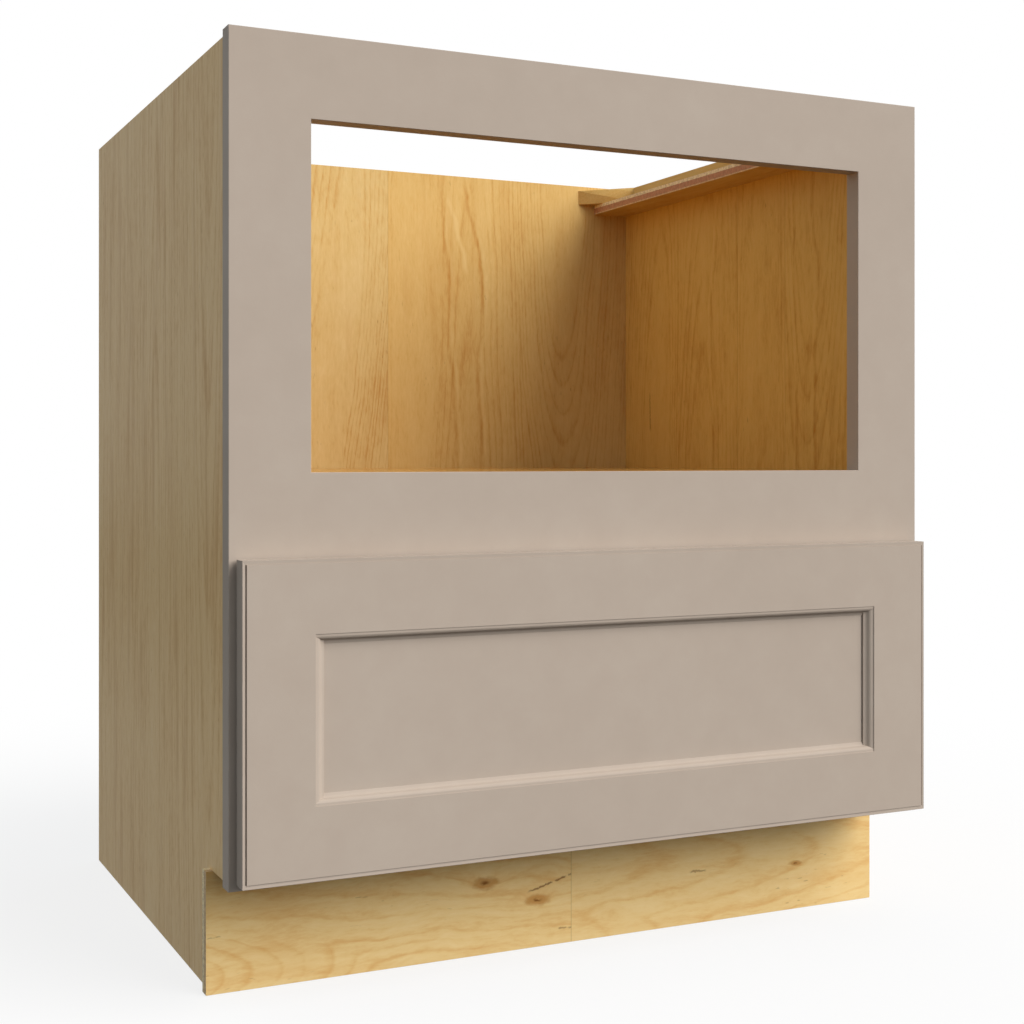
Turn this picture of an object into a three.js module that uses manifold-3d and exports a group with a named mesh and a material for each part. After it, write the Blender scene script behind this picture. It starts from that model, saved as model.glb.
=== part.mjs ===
// Microwave base cabinet: a painted face frame and drawer front on a veneered plywood case that is open at
// the top, with a shelf behind the window and a dovetailed drawer box on full-extension undermount slides.
// Millimetres, X to the right, Y to the rear and Z up. The face frame's front face is at Y = 0 inside the
// cabinet group, and the group is moved so that the origin lies on the floor under the middle of the whole.

import * as THREE from 'three';
import { mergeVertices } from 'three/addons/utils/BufferGeometryUtils.js';
import Module from 'manifold-3d';

const wasm = await Module();
wasm.setup();

// ---- Driving dimensions ------------------------------------------------------------------------------

// Case
const FRAME_WIDTH = 762;
const CASE_HEIGHT = 876.3;
const CASE_DEPTH = 609.6;
const SIDE_THICKNESS = 12.7;
const SIDE_INSET = 6.35; // side panel's outer face inside the face frame's edge
const DADO_DEPTH = 6.35;
const BACK_THICKNESS = 6.35;
const HANGING_RAIL_THICKNESS = 12.7;
const HANGING_RAIL_HEIGHT = 76.2;
const SHELF_THICKNESS = 19.05;
const SHELF_TONGUE = 12.7; // lower part of the shelf's ends, in the side panels' dados
const DECK_THICKNESS = 12.7;
const TOE_HEIGHT = 114.3;
const TOE_RECESS = 76.2;
const TOE_BOARD_THICKNESS = 12.7;

// Face frame
const FRAME_THICKNESS = 19.05;
const STILE_WIDTH = 76.2;
const TOP_RAIL_HEIGHT = 76.2;
const MIDDLE_RAIL_HEIGHT = 107.95;
const BOTTOM_RAIL_HEIGHT = 38.1;
const WINDOW_HEIGHT = 317.5;
const STILE_GROOVE_DEPTH = 6.35; // takes the side panel's front edge

// Top bracing
const BRACE_WIDTH = 50.8;
const BRACE_THICKNESS = 12.7;
const BRACE_DROP = 25.4; // brace's upper face below the top of the case
const CLEAT_SIZE = 19.05;
const CORNER_BLOCK_LEG = 57.15;

// Drawer front
const FRONT_REVEAL = 6.35; // face frame left bare beside and below the drawer front
const FRONT_TOP_OVERLAY = 31.75; // drawer front above the drawer opening
const FRONT_THICKNESS = 19.05;
const BUMPER_GAP = 3.175; // between the drawer front's back and the face frame
const MEMBER_WIDTH = 76.2; // stiles and rails of the drawer front
const MOULDING_WIDTH = 9.525;
const MOULDING_OUTER_STEP = 1.2; // square step down from the drawer front's face
const MOULDING_OUTER_FLAT = 2.3; // flat between that step and the moulding's curve
const MOULDING_INNER_FLAT = 1.2; // flat between the curve and the step down to the panel
const MOULDING_INNER_STEP = 2.2;
const PANEL_RECESS = 7.94; // panel's face below the drawer front's face
const PANEL_THICKNESS = 6.35;
const PANEL_GROOVE_DEPTH = 9.525;
const RIM_WIDTH = 3.9; // square step round the drawer front's edge
const RIM_DEPTH = 1.2;
const BUMPER_DIAMETER = 9.5;
const BUMPER_EDGE_DISTANCE = 20; // from the drawer front's corner, both ways

// Drawer box
const BOX_THICKNESS = 15.875;
const BOX_SIDE_CLEARANCE = 5; // between the box and the drawer opening, each side
const BOX_BOTTOM_CLEARANCE = 15.875;
const BOX_TOP_CLEARANCE = 9.525;
const BOX_REAR_CLEARANCE = 60.325; // between the box and the back panel
const BOTTOM_THICKNESS = 6.35;
const BOTTOM_LIFT = 12.7; // bottom board's underside above the box's lower edge
const BOX_GROOVE_DEPTH = 6.35;
const TAIL_COUNT = 5;
const TAIL_END_WIDTH = 24;
const TAIL_ANGLE = 8; // degrees

// Undermount slides
const SLIDE_SETBACK = 3.175; // cabinet member behind the face frame's front face
const SLIDE_LIFT = 2; // cabinet member above the lower edge of the opening
const STEEL_THICKNESS = 1.5;
const FLANGE_HEIGHT = 35;
const GUIDE_HEIGHT = 11.6; // cabinet member's upstands
const DRAWER_MEMBER_WIDTH = 23;
const DRAWER_MEMBER_LEG = 12;
const INTERMEDIATE_SHORTFALL = 33.4; // intermediate member shorter than the cabinet member
const INTERMEDIATE_WIDTH = 17;
const ROLLER_DIAMETER = 4;
const ROLLER_LENGTH = 11;
const ROLLER_PITCH = 38;
const ROLLERS_PER_CAGE = 6;
const CAGE_WIDTH = 15;
const CAGE_THICKNESS = 1.2;
const CAGE_REAR_OFFSET = 125; // cage behind the intermediate member's front end, drawer closed
const HOOK_DIAMETER = 5.4;
const HOOK_REACH = 8;
const HOOK_HEIGHT = 11; // hook's axis above the bottom board's underside
const MOUNTING_BLOCK_HEIGHT = 50.8;

// Locking devices under the drawer's front corners
const LOCK_LENGTH = 62;
const LOCK_WIDTH = 32;
const LOCK_PLATE_THICKNESS = 3;
const LEVER_THICKNESS = 6.5;
const LEVER_PIVOT_DIAMETER = 4;
const LEVER_NOSE_REACH = 1.2; // into the drawer member's leg

// Screws
const SCREW_DIAMETER = 4;
const SCREW_HEAD_DIAMETER = 8;
const SCREW_HEAD_THICKNESS = 1.8;
const SCREW_BITE = 12; // length in the piece that the screw holds
const POCKET_ANGLE = 15; // degrees to the rail's length
const POCKET_DIAMETER = 9.5;
const POCKET_SEAT = 14; // wood left between the pocket and the stile

const FIT_GAP = 0.3; // clearance of a piece in the groove, socket or hole that is cut for it
const CUT_OVERSHOOT = 2; // cutting tools run this far past the surface that they cut
const ROUND_SEGMENTS = 12;
const ARC_SEGMENTS = 4; // in each of the moulding's two arcs

// ---- Derived places ----------------------------------------------------------------------------------

const frameHalf = FRAME_WIDTH / 2;
const openingHalf = frameHalf - STILE_WIDTH;
const sideOuter = frameHalf - SIDE_INSET;
const sideInner = sideOuter - SIDE_THICKNESS;
const dadoFloor = sideInner + DADO_DEPTH;
const railRear = CASE_DEPTH;
const backRear = railRear - HANGING_RAIL_THICKNESS;
const backFront = backRear - BACK_THICKNESS;
const toeBack = TOE_RECESS + TOE_BOARD_THICKNESS;

const windowTop = CASE_HEIGHT - TOP_RAIL_HEIGHT;
const windowBottom = windowTop - WINDOW_HEIGHT;
const openingTop = windowBottom - MIDDLE_RAIL_HEIGHT;
const openingBottom = TOE_HEIGHT + BOTTOM_RAIL_HEIGHT;
const shelfBottom = windowBottom - SHELF_THICKNESS;
const deckBottom = openingBottom - DECK_THICKNESS;
const braceTop = CASE_HEIGHT - BRACE_DROP;
const cleatInner = sideInner - CLEAT_SIZE;

const frontBack = -BUMPER_GAP;
const frontFace = frontBack - FRONT_THICKNESS;
const frontHalf = frameHalf - FRONT_REVEAL;
const frontBottom = TOE_HEIGHT + FRONT_REVEAL;
const frontTop = openingTop + FRONT_TOP_OVERLAY;
const panelHalf = frontHalf - MEMBER_WIDTH;
const panelBottom = frontBottom + MEMBER_WIDTH;
const panelTop = frontTop - MEMBER_WIDTH;

const boxHalf = openingHalf - BOX_SIDE_CLEARANCE;
const boxInnerHalf = boxHalf - BOX_THICKNESS;
const boxBottom = openingBottom + BOX_BOTTOM_CLEARANCE;
const boxTop = openingTop - BOX_TOP_CLEARANCE;
const boxFront = frontBack;
const boxFrontInner = boxFront + BOX_THICKNESS;
const boxRear = backFront - BOX_REAR_CLEARANCE;
const boxRearInner = boxRear - BOX_THICKNESS;
const bottomUnderside = boxBottom + BOTTOM_LIFT;

const slideBottom = openingBottom + SLIDE_LIFT;
const slideFront = SLIDE_SETBACK;
const slideLength = boxRear - boxFront;
const drawerMemberOuter = boxInnerHalf - FIT_GAP;
const drawerMemberInner = drawerMemberOuter - DRAWER_MEMBER_WIDTH;
const drawerMemberTop = bottomUnderside - FIT_GAP;
const drawerMemberFront = boxFrontInner + FIT_GAP;
const rollerSpace = ROLLER_DIAMETER + 2 * FIT_GAP;
const intermediateBottom = slideBottom + STEEL_THICKNESS + rollerSpace;
const intermediateTop = drawerMemberTop - STEEL_THICKNESS - rollerSpace;
const slideCentre = (drawerMemberInner + drawerMemberOuter) / 2;
const intermediateFront = boxFrontInner + SLIDE_SETBACK;

const lockOuter = drawerMemberInner - 2 * FIT_GAP;
const lockInner = lockOuter - LOCK_WIDTH;
const leverTop = drawerMemberTop - LOCK_PLATE_THICKNESS - FIT_GAP;
const leverPivotX = lockInner + LOCK_WIDTH / 4;
const leverPivotY = drawerMemberFront + LOCK_LENGTH * 0.8;
const leverNoseY = drawerMemberFront + LOCK_LENGTH * 0.45;

// ---- Shape helpers -----------------------------------------------------------------------------------

const UNIT_X = new THREE.Vector3(1, 0, 0);
const UNIT_Y = new THREE.Vector3(0, 1, 0);
const UNIT_Z = new THREE.Vector3(0, 0, 1);

// A span of X on one side of the middle: side is -1 for the left and 1 for the right.
function sideSpan(side, inner, outer) {
  return side > 0 ? [inner, outer] : [-outer, -inner];
}

function boxGeometry([x0, x1], [y0, y1], [z0, z1]) {
  const geometry = new THREE.BoxGeometry(x1 - x0, y1 - y0, z1 - z0);
  return geometry.translate((x0 + x1) / 2, (y0 + y1) / 2, (z0 + z1) / 2);
}

function extrude(points, length) {
  const outline = new THREE.Shape(points.map(([a, b]) => new THREE.Vector2(a, b)));
  return new THREE.ExtrudeGeometry(outline, { depth: length, bevelEnabled: false });
}

// Prism along X of an outline given as (y, z).
function prismX(points, [x0, x1]) {
  const toAxis = new THREE.Matrix4().makeBasis(UNIT_Y, UNIT_Z, UNIT_X);
  return extrude(points, x1 - x0).applyMatrix4(toAxis).translate(x0, 0, 0);
}

// Prism along Y of an outline given as (x, z).
function prismY(points, [y0, y1]) {
  const toAxis = new THREE.Matrix4().makeBasis(UNIT_X, UNIT_Z, UNIT_Y.clone().negate());
  return extrude(points, y1 - y0).applyMatrix4(toAxis).translate(0, y1, 0);
}

// Prism along Z of an outline given as (x, y).
function prismZ(points, [z0, z1]) {
  return extrude(points, z1 - z0).translate(0, 0, z0);
}

// Solid of revolution of a half profile (radius, distance), turned to point along a direction.
function turned(profile, origin, direction) {
  const points = profile.map(([radius, distance]) => new THREE.Vector2(radius, distance));
  const geometry = new THREE.LatheGeometry(points, ROUND_SEGMENTS);
  const turn = new THREE.Quaternion().setFromUnitVectors(UNIT_Y, direction);
  return geometry.applyQuaternion(turn).translate(origin.x, origin.y, origin.z);
}

function rod(radius, from, to) {
  const direction = to.clone().sub(from);
  const length = direction.length();
  const profile = [[0, 0], [radius, 0], [radius, length], [0, length]];
  return turned(profile, from, direction.normalize());
}

// Position-only geometry with shared vertices and no degenerate triangles.
function welded(geometry) {
  const bare = geometry.clone();
  bare.deleteAttribute('normal');
  bare.deleteAttribute('uv');
  const merged = mergeVertices(bare, 1e-4);
  const index = Array.from(merged.index.array);
  const kept = [];
  for (let i = 0; i < index.length; i += 3) {
    const [a, b, c] = index.slice(i, i + 3);
    if (a !== b && b !== c && c !== a) kept.push(a, b, c);
  }
  merged.setIndex(kept);
  return merged;
}

function solid(geometry) {
  const shape = welded(geometry);
  const mesh = new wasm.Mesh({
    numProp: 3,
    vertProperties: new Float32Array(shape.attributes.position.array),
    triVerts: new Uint32Array(shape.index.array),
  });
  return new wasm.Manifold(mesh);
}

function cut(geometry, tools) {
  return tools.reduce((body, tool) => body.subtract(solid(tool)), solid(geometry));
}

function join(geometries) {
  return geometries.slice(1).reduce((body, piece) => body.add(solid(piece)), solid(geometries[0]));
}

function toGeometry(manifold) {
  const mesh = manifold.getMesh();
  const geometry = new THREE.BufferGeometry();
  geometry.setAttribute('position', new THREE.BufferAttribute(mesh.vertProperties, 3));
  geometry.setIndex(new THREE.BufferAttribute(mesh.triVerts, 1));
  const flat = geometry.toNonIndexed();
  flat.computeVertexNormals();
  return flat;
}

// ---- Finishes and nodes ------------------------------------------------------------------------------

const FINISHES = {
  paint: { color: 0xb5a79a, roughness: 0.5, metalness: 0 },
  sideVeneer: { color: 0x928260, roughness: 0.55, metalness: 0 },
  plywood: { color: 0xd8ae6a, roughness: 0.5, metalness: 0 },
  toeVeneer: { color: 0xcba96c, roughness: 0.55, metalness: 0 },
  boxMaple: { color: 0xdcbf90, roughness: 0.45, metalness: 0 },
  steel: { color: 0xa6a9ac, roughness: 0.35, metalness: 0.9 },
  nylon: { color: 0xe6e6e2, roughness: 0.5, metalness: 0 },
  greyPlastic: { color: 0x7d8286, roughness: 0.5, metalness: 0 },
  rubber: { color: 0xc9c9c4, roughness: 0.7, metalness: 0 },
};

function node(name, finish, shape) {
  const geometry = shape.isBufferGeometry ? shape : toGeometry(shape);
  const mesh = new THREE.Mesh(geometry, new THREE.MeshStandardMaterial(FINISHES[finish]));
  mesh.name = name;
  return mesh;
}

// A plain board, placed by its middle.
function board(name, finish, [x0, x1], [y0, y1], [z0, z1]) {
  const mesh = node(name, finish, new THREE.BoxGeometry(x1 - x0, y1 - y0, z1 - z0));
  mesh.position.set((x0 + x1) / 2, (y0 + y1) / 2, (z0 + z1) / 2);
  return mesh;
}

function grouped(nodes) {
  const group = new THREE.Group();
  group.add(...nodes);
  return group;
}

const SIDES = [['left', -1], ['right', 1]];

// ---- Case --------------------------------------------------------------------------------------------

// Side panel with the toe notch, and dados on its inner face for the deck, the shelf and the back.
function sidePanel(name, side) {
  const frontEdge = FRAME_THICKNESS - STILE_GROOVE_DEPTH + FIT_GAP;
  const outline = [
    [toeBack, 0],
    [CASE_DEPTH, 0],
    [CASE_DEPTH, CASE_HEIGHT],
    [frontEdge, CASE_HEIGHT],
    [frontEdge, TOE_HEIGHT],
    [toeBack, TOE_HEIGHT],
  ];
  const dadoX = sideSpan(side, sideInner - CUT_OVERSHOOT, dadoFloor);
  const boardY = [frontEdge - CUT_OVERSHOOT, backFront];
  const dadoZ = (bottom, thickness) => [bottom - FIT_GAP, bottom + thickness + FIT_GAP];
  const backY = [backFront - FIT_GAP, backRear + FIT_GAP];
  const backZ = [deckBottom - FIT_GAP, CASE_HEIGHT + CUT_OVERSHOOT];
  const tools = [
    boxGeometry(dadoX, boardY, dadoZ(shelfBottom, SHELF_TONGUE)),
    boxGeometry(dadoX, boardY, dadoZ(deckBottom, DECK_THICKNESS)),
    boxGeometry(dadoX, backY, backZ),
  ];
  return node(name, 'sideVeneer', cut(prismX(outline, sideSpan(side, sideInner, sideOuter)), tools));
}

// Shelf with its ends rabbeted from above: the upper part stops at the side panels, and the tongues below it
// run into their dados, so that the whole upper face is clear to stand an oven on.
function microwaveShelf(spanY) {
  const tip = dadoFloor - FIT_GAP;
  const shoulder = sideInner - FIT_GAP;
  const tongueTop = shelfBottom + SHELF_TONGUE;
  const outline = [
    [-tip, shelfBottom],
    [tip, shelfBottom],
    [tip, tongueTop],
    [shoulder, tongueTop],
    [shoulder, windowBottom],
    [-shoulder, windowBottom],
    [-shoulder, tongueTop],
    [-tip, tongueTop],
  ];
  return node('microwave_shelf', 'plywood', prismY(outline, spanY));
}

function caseBoards() {
  const dadoed = [-dadoFloor + FIT_GAP, dadoFloor - FIT_GAP];
  const between = [-sideInner, sideInner];
  const behindBack = [backRear, railRear];
  const inside = [FRAME_THICKNESS, backFront];
  const railZ = (bottom) => [bottom, bottom + HANGING_RAIL_HEIGHT];
  return [
    board('back_panel', 'plywood', dadoed, [backFront, backRear], [deckBottom, CASE_HEIGHT]),
    board('upper_hanging_rail', 'plywood', between, behindBack, railZ(CASE_HEIGHT - HANGING_RAIL_HEIGHT)),
    board('middle_hanging_rail', 'plywood', between, behindBack, railZ(windowBottom - HANGING_RAIL_HEIGHT)),
    board('lower_hanging_rail', 'plywood', between, behindBack, railZ(deckBottom)),
    microwaveShelf(inside),
    board('bottom_deck', 'plywood', dadoed, inside, [deckBottom, openingBottom]),
    board('toe_board', 'toeVeneer', [-frameHalf, frameHalf], [TOE_RECESS, toeBack], [0, TOE_HEIGHT]),
  ];
}

// Plywood brace and cleat along the top of one side, with a triangular block in each corner.
function topBracing(label, side) {
  const inside = [FRAME_THICKNESS, backFront];
  const braceX = sideSpan(side, sideInner - BRACE_WIDTH, sideInner);
  const cleatZ = [braceTop, braceTop + CLEAT_SIZE];
  const cornerBlock = (corner, wallY, inward) => {
    const outline = [
      [side * cleatInner, wallY],
      [side * (cleatInner - CORNER_BLOCK_LEG), wallY],
      [side * cleatInner, wallY + inward * CORNER_BLOCK_LEG],
    ];
    return node(`${corner}_${label}_corner_block`, 'plywood', prismZ(outline, cleatZ));
  };
  return [
    board(`${label}_top_brace`, 'plywood', braceX, inside, [braceTop - BRACE_THICKNESS, braceTop]),
    board(`${label}_top_cleat`, 'plywood', sideSpan(side, cleatInner, sideInner), inside, cleatZ),
    cornerBlock('front', FRAME_THICKNESS, 1),
    cornerBlock('rear', backFront, -1),
  ];
}

// ---- Face frame --------------------------------------------------------------------------------------

// Heights of the pocket screws at each end of the three rails.
const pocketHeights = {
  top: [windowTop + TOP_RAIL_HEIGHT / 4, windowTop + (3 * TOP_RAIL_HEIGHT) / 4],
  middle: [openingTop + MIDDLE_RAIL_HEIGHT / 4, shelfBottom - POCKET_DIAMETER],
  bottom: [(TOE_HEIGHT + deckBottom) / 2],
};

// One pocket screw: it crosses the joint at half the frame's thickness, aimed outwards and forwards.
function pocketAxis(side, z) {
  const angle = THREE.MathUtils.degToRad(POCKET_ANGLE);
  const direction = new THREE.Vector3(side * Math.cos(angle), -Math.sin(angle), 0);
  const crossing = new THREE.Vector3(side * openingHalf, FRAME_THICKNESS / 2, z);
  const along = (distance) => crossing.clone().addScaledVector(direction, distance);
  return { direction, along, angle };
}

function pocketTools(side, heights) {
  return heights.flatMap((z) => {
    const { along, angle } = pocketAxis(side, z);
    const surface = FRAME_THICKNESS / 2 / Math.sin(angle);
    const mouth = surface + POCKET_DIAMETER / Math.tan(angle);
    const tip = along(SCREW_BITE + POCKET_SEAT / 4 + FIT_GAP);
    return [
      rod(POCKET_DIAMETER / 2, along(-mouth), along(-POCKET_SEAT)),
      rod(SCREW_DIAMETER / 2 + FIT_GAP, along(-POCKET_SEAT - CUT_OVERSHOOT), tip),
    ];
  });
}

function faceFrameStile(label, side) {
  const spanX = sideSpan(side, openingHalf, frameHalf);
  const blank = boxGeometry(spanX, [0, FRAME_THICKNESS], [TOE_HEIGHT, CASE_HEIGHT]);
  const groove = boxGeometry(
    sideSpan(side, sideInner - FIT_GAP, sideOuter + FIT_GAP),
    [FRAME_THICKNESS - STILE_GROOVE_DEPTH, FRAME_THICKNESS + CUT_OVERSHOOT],
    [TOE_HEIGHT - CUT_OVERSHOOT, CASE_HEIGHT + CUT_OVERSHOOT],
  );
  const pilots = pocketTools(side, Object.values(pocketHeights).flat());
  return node(`face_frame_${label}_stile`, 'paint', cut(blank, [groove, ...pilots]));
}

function faceFrameRail(label, z0, z1) {
  const blank = boxGeometry([-openingHalf, openingHalf], [0, FRAME_THICKNESS], [z0, z1]);
  const pockets = SIDES.flatMap(([, side]) => pocketTools(side, pocketHeights[label]));
  return node(`face_frame_${label}_rail`, 'paint', cut(blank, pockets));
}

function faceFrame() {
  return grouped([
    ...SIDES.map(([label, side]) => faceFrameStile(label, side)),
    faceFrameRail('top', windowTop, CASE_HEIGHT),
    faceFrameRail('middle', openingTop, windowBottom),
    faceFrameRail('bottom', TOE_HEIGHT, openingBottom),
  ]);
}

// ---- Drawer front ------------------------------------------------------------------------------------

// The moulding's curve from the panel's side outwards, as (u, v): a hollow arc that turns up into a rounded
// one, both level where they meet the flats.
function mouldingCurve() {
  const low = PANEL_RECESS - MOULDING_INNER_STEP;
  const width = MOULDING_WIDTH - MOULDING_INNER_FLAT - MOULDING_OUTER_FLAT;
  const height = low - MOULDING_OUTER_STEP;
  const turn = 2 * Math.atan2(height, width);
  const radius = width / 2 / Math.sin(turn);
  const arc = [];
  for (let i = 0; i <= ARC_SEGMENTS; i += 1) {
    const angle = (turn * i) / ARC_SEGMENTS;
    arc.push([radius * Math.sin(angle), radius * (1 - Math.cos(angle))]);
  }
  const hollow = arc.map(([across, rise]) => [MOULDING_INNER_FLAT + across, low - rise]);
  const rounded = arc.slice(0, -1).reverse().map(([across, drop]) => [
    MOULDING_WIDTH - MOULDING_OUTER_FLAT - across,
    MOULDING_OUTER_STEP + drop,
  ]);
  return [[0, low], ...hollow, ...rounded, [MOULDING_WIDTH, MOULDING_OUTER_STEP]];
}

// Section of a drawer-front member: u runs from the panel outwards, v from the face to the back. The
// section can be grown by a clearance, to cope the rails' ends over the stiles.
function memberSection(grow) {
  const edge = -grow;
  const grooveFloor = PANEL_GROOVE_DEPTH - grow;
  const grooveFront = PANEL_RECESS - FIT_GAP + grow;
  const grooveRear = PANEL_RECESS + PANEL_THICKNESS + FIT_GAP - grow;
  return [
    [MEMBER_WIDTH, -grow],
    [MEMBER_WIDTH, FRONT_THICKNESS + grow],
    [edge, FRONT_THICKNESS + grow],
    [edge, grooveRear],
    [grooveFloor, grooveRear],
    [grooveFloor, grooveFront],
    [edge, grooveFront],
    ...mouldingCurve().map(([u, v]) => [u - grow, v - grow]),
    [MOULDING_WIDTH - grow, -grow],
  ];
}

// The square step round the drawer front's edge, as the material that it takes away.
function rimTool() {
  const depth = [frontFace - CUT_OVERSHOOT, frontFace + RIM_DEPTH];
  const around = (inset) => [
    [-frontHalf + inset, frontHalf - inset],
    [frontBottom + inset, frontTop - inset],
  ];
  const [outerX, outerZ] = around(-CUT_OVERSHOOT);
  const [innerX, innerZ] = around(RIM_WIDTH);
  const inner = boxGeometry(innerX, [depth[0] - CUT_OVERSHOOT, depth[1] + CUT_OVERSHOOT], innerZ);
  return cut(boxGeometry(outerX, depth, outerZ), [inner]);
}

function frontStileGeometry(side, grow) {
  const outline = memberSection(grow).map(([u, v]) => [side * (panelHalf + u), frontFace + v]);
  return prismZ(outline, [frontBottom - grow, frontTop + grow]);
}

function frontRail(side) {
  const reach = panelHalf + Math.max(MOULDING_WIDTH, PANEL_GROOVE_DEPTH);
  const place = side > 0 ? (u) => panelTop + u : (u) => panelBottom - u;
  const outline = memberSection(0).map(([u, v]) => [frontFace + v, place(u)]);
  const copes = SIDES.map(([, end]) => frontStileGeometry(end, FIT_GAP));
  return cut(prismX(outline, [-reach, reach]), copes);
}

function screwProfile(shankLength) {
  const shank = SCREW_DIAMETER / 2;
  const head = SCREW_HEAD_DIAMETER / 2;
  return [
    [0, 0],
    [head * 0.7, 0],
    [head, SCREW_HEAD_THICKNESS * 0.5],
    [head, SCREW_HEAD_THICKNESS],
    [shank, SCREW_HEAD_THICKNESS],
    [shank, SCREW_HEAD_THICKNESS + shankLength - SCREW_DIAMETER],
    [0, SCREW_HEAD_THICKNESS + shankLength],
  ];
}

// A screw with the underside of its head at seat, pointing along direction.
function screw(seat, direction, shankLength) {
  const headTop = seat.clone().addScaledVector(direction, -SCREW_HEAD_THICKNESS);
  return turned(screwProfile(shankLength), headTop, direction);
}

// Where the drawer-front screws sit on the inner face of the box's front board: the upper ones inside the
// box, the lower ones under its bottom.
function frontScrewPlaces() {
  const upper = (panelTop + PANEL_GROOVE_DEPTH + boxTop) / 2;
  const lower = (boxBottom + bottomUnderside) / 2;
  return SIDES.flatMap(([label, side]) => [
    [`upper_${label}`, new THREE.Vector3(side * panelHalf * 0.75, boxFrontInner, upper)],
    [`lower_${label}`, new THREE.Vector3(side * panelHalf * 0.5, boxFrontInner, lower)],
  ]);
}

const frontScrewLength = BOX_THICKNESS + SCREW_BITE;

function frontScrewHoles() {
  return frontScrewPlaces().map(([, seat]) => {
    const start = seat.clone().addScaledVector(UNIT_Y, CUT_OVERSHOOT);
    const tip = seat.clone().addScaledVector(UNIT_Y, -frontScrewLength - FIT_GAP);
    return rod(SCREW_DIAMETER / 2 + FIT_GAP, start, tip);
  });
}

function frontScrews() {
  const forwards = UNIT_Y.clone().negate();
  return frontScrewPlaces().map(([corner, seat]) => (
    node(`drawer_front_screw_${corner}`, 'steel', screw(seat, forwards, frontScrewLength))
  ));
}

function bumperPads() {
  const xOffset = frontHalf - BUMPER_EDGE_DISTANCE;
  const levels = [['lower', frontBottom + BUMPER_EDGE_DISTANCE], ['upper', frontTop - BUMPER_EDGE_DISTANCE]];
  return SIDES.flatMap(([label, side]) => levels.map(([level, z]) => {
    const stuck = new THREE.Vector3(side * xOffset, frontBack, z);
    const pad = rod(BUMPER_DIAMETER / 2, stuck, stuck.clone().setY(-FIT_GAP));
    return node(`bumper_pad_${level}_${label}`, 'rubber', pad);
  }));
}

function drawerFront() {
  const rim = rimTool();
  const holes = frontScrewHoles();
  const trimmed = (body) => holes.reduce((piece, hole) => piece.subtract(solid(hole)), body.subtract(rim));
  const tucked = PANEL_GROOVE_DEPTH - FIT_GAP;
  const panelFace = frontFace + PANEL_RECESS;
  return grouped([
    node('drawer_front_left_stile', 'paint', trimmed(solid(frontStileGeometry(-1, 0)))),
    node('drawer_front_right_stile', 'paint', trimmed(solid(frontStileGeometry(1, 0)))),
    node('drawer_front_top_rail', 'paint', trimmed(frontRail(1))),
    node('drawer_front_bottom_rail', 'paint', trimmed(frontRail(-1))),
    board(
      'drawer_front_panel',
      'paint',
      [-panelHalf - tucked, panelHalf + tucked],
      [panelFace, panelFace + PANEL_THICKNESS],
      [panelBottom - tucked, panelTop + tucked],
    ),
    ...bumperPads(),
    ...frontScrews(),
  ]);
}

// ---- Drawer box --------------------------------------------------------------------------------------

const tailPitch = (boxTop - boxBottom) / TAIL_COUNT;
const tailSlope = Math.tan(THREE.MathUtils.degToRad(TAIL_ANGLE));

// The four corners of one tail as (y, z), from its lower shoulder round its end to its upper shoulder. The
// lowest tail at the rear runs down to the board's edge, because the back board is cut away there.
function tailCorners(index, shoulderY, endY, grow) {
  const middle = boxBottom + tailPitch * (index + 0.5);
  const endHalf = TAIL_END_WIDTH / 2 + grow;
  const rootHalf = endHalf - Math.abs(endY - shoulderY) * tailSlope;
  const squared = index === 0 && endY > shoulderY;
  const lower = squared ? boxBottom - grow : null;
  return [
    [shoulderY, lower ?? middle - rootHalf],
    [endY, lower ?? middle - endHalf],
    [endY, middle + endHalf],
    [shoulderY, middle + rootHalf],
  ];
}

const tailIndices = Array.from({ length: TAIL_COUNT }, (_, index) => index);

function boxSide(label, side) {
  const front = tailIndices.flatMap((index) => tailCorners(index, boxFrontInner, boxFront, 0));
  const rear = tailIndices.flatMap((index) => tailCorners(index, boxRearInner, boxRear, 0));
  const outline = [
    [boxFrontInner, boxBottom],
    ...front,
    [boxFrontInner, boxTop],
    [boxRearInner, boxTop],
    ...rear.reverse(),
  ];
  const groove = bottomGroove(
    sideSpan(side, boxInnerHalf - CUT_OVERSHOOT, boxInnerHalf + BOX_GROOVE_DEPTH),
    [boxFront - CUT_OVERSHOOT, boxRear + CUT_OVERSHOOT],
  );
  const body = cut(prismX(outline, sideSpan(side, boxInnerHalf, boxHalf)), [groove]);
  return node(`drawer_box_${label}_side`, 'boxMaple', body);
}

function bottomGroove(spanX, spanY) {
  const spanZ = [bottomUnderside - FIT_GAP, bottomUnderside + BOTTOM_THICKNESS + FIT_GAP];
  return boxGeometry(spanX, spanY, spanZ);
}

// Sockets for the tails of both sides, cut into the front or the back board.
function tailSockets(shoulderY, endY) {
  const outward = Math.sign(endY - shoulderY);
  return SIDES.flatMap(([, side]) => tailIndices.map((index) => {
    const corners = tailCorners(index, shoulderY, endY, FIT_GAP);
    const [lowShoulder, lowEnd, highEnd, highShoulder] = corners;
    const inset = outward * FIT_GAP;
    lowShoulder[0] -= inset;
    highShoulder[0] -= inset;
    lowEnd[0] += inset;
    highEnd[0] += inset;
    return prismX(corners, sideSpan(side, boxInnerHalf - FIT_GAP, boxHalf + CUT_OVERSHOOT));
  }));
}

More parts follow.
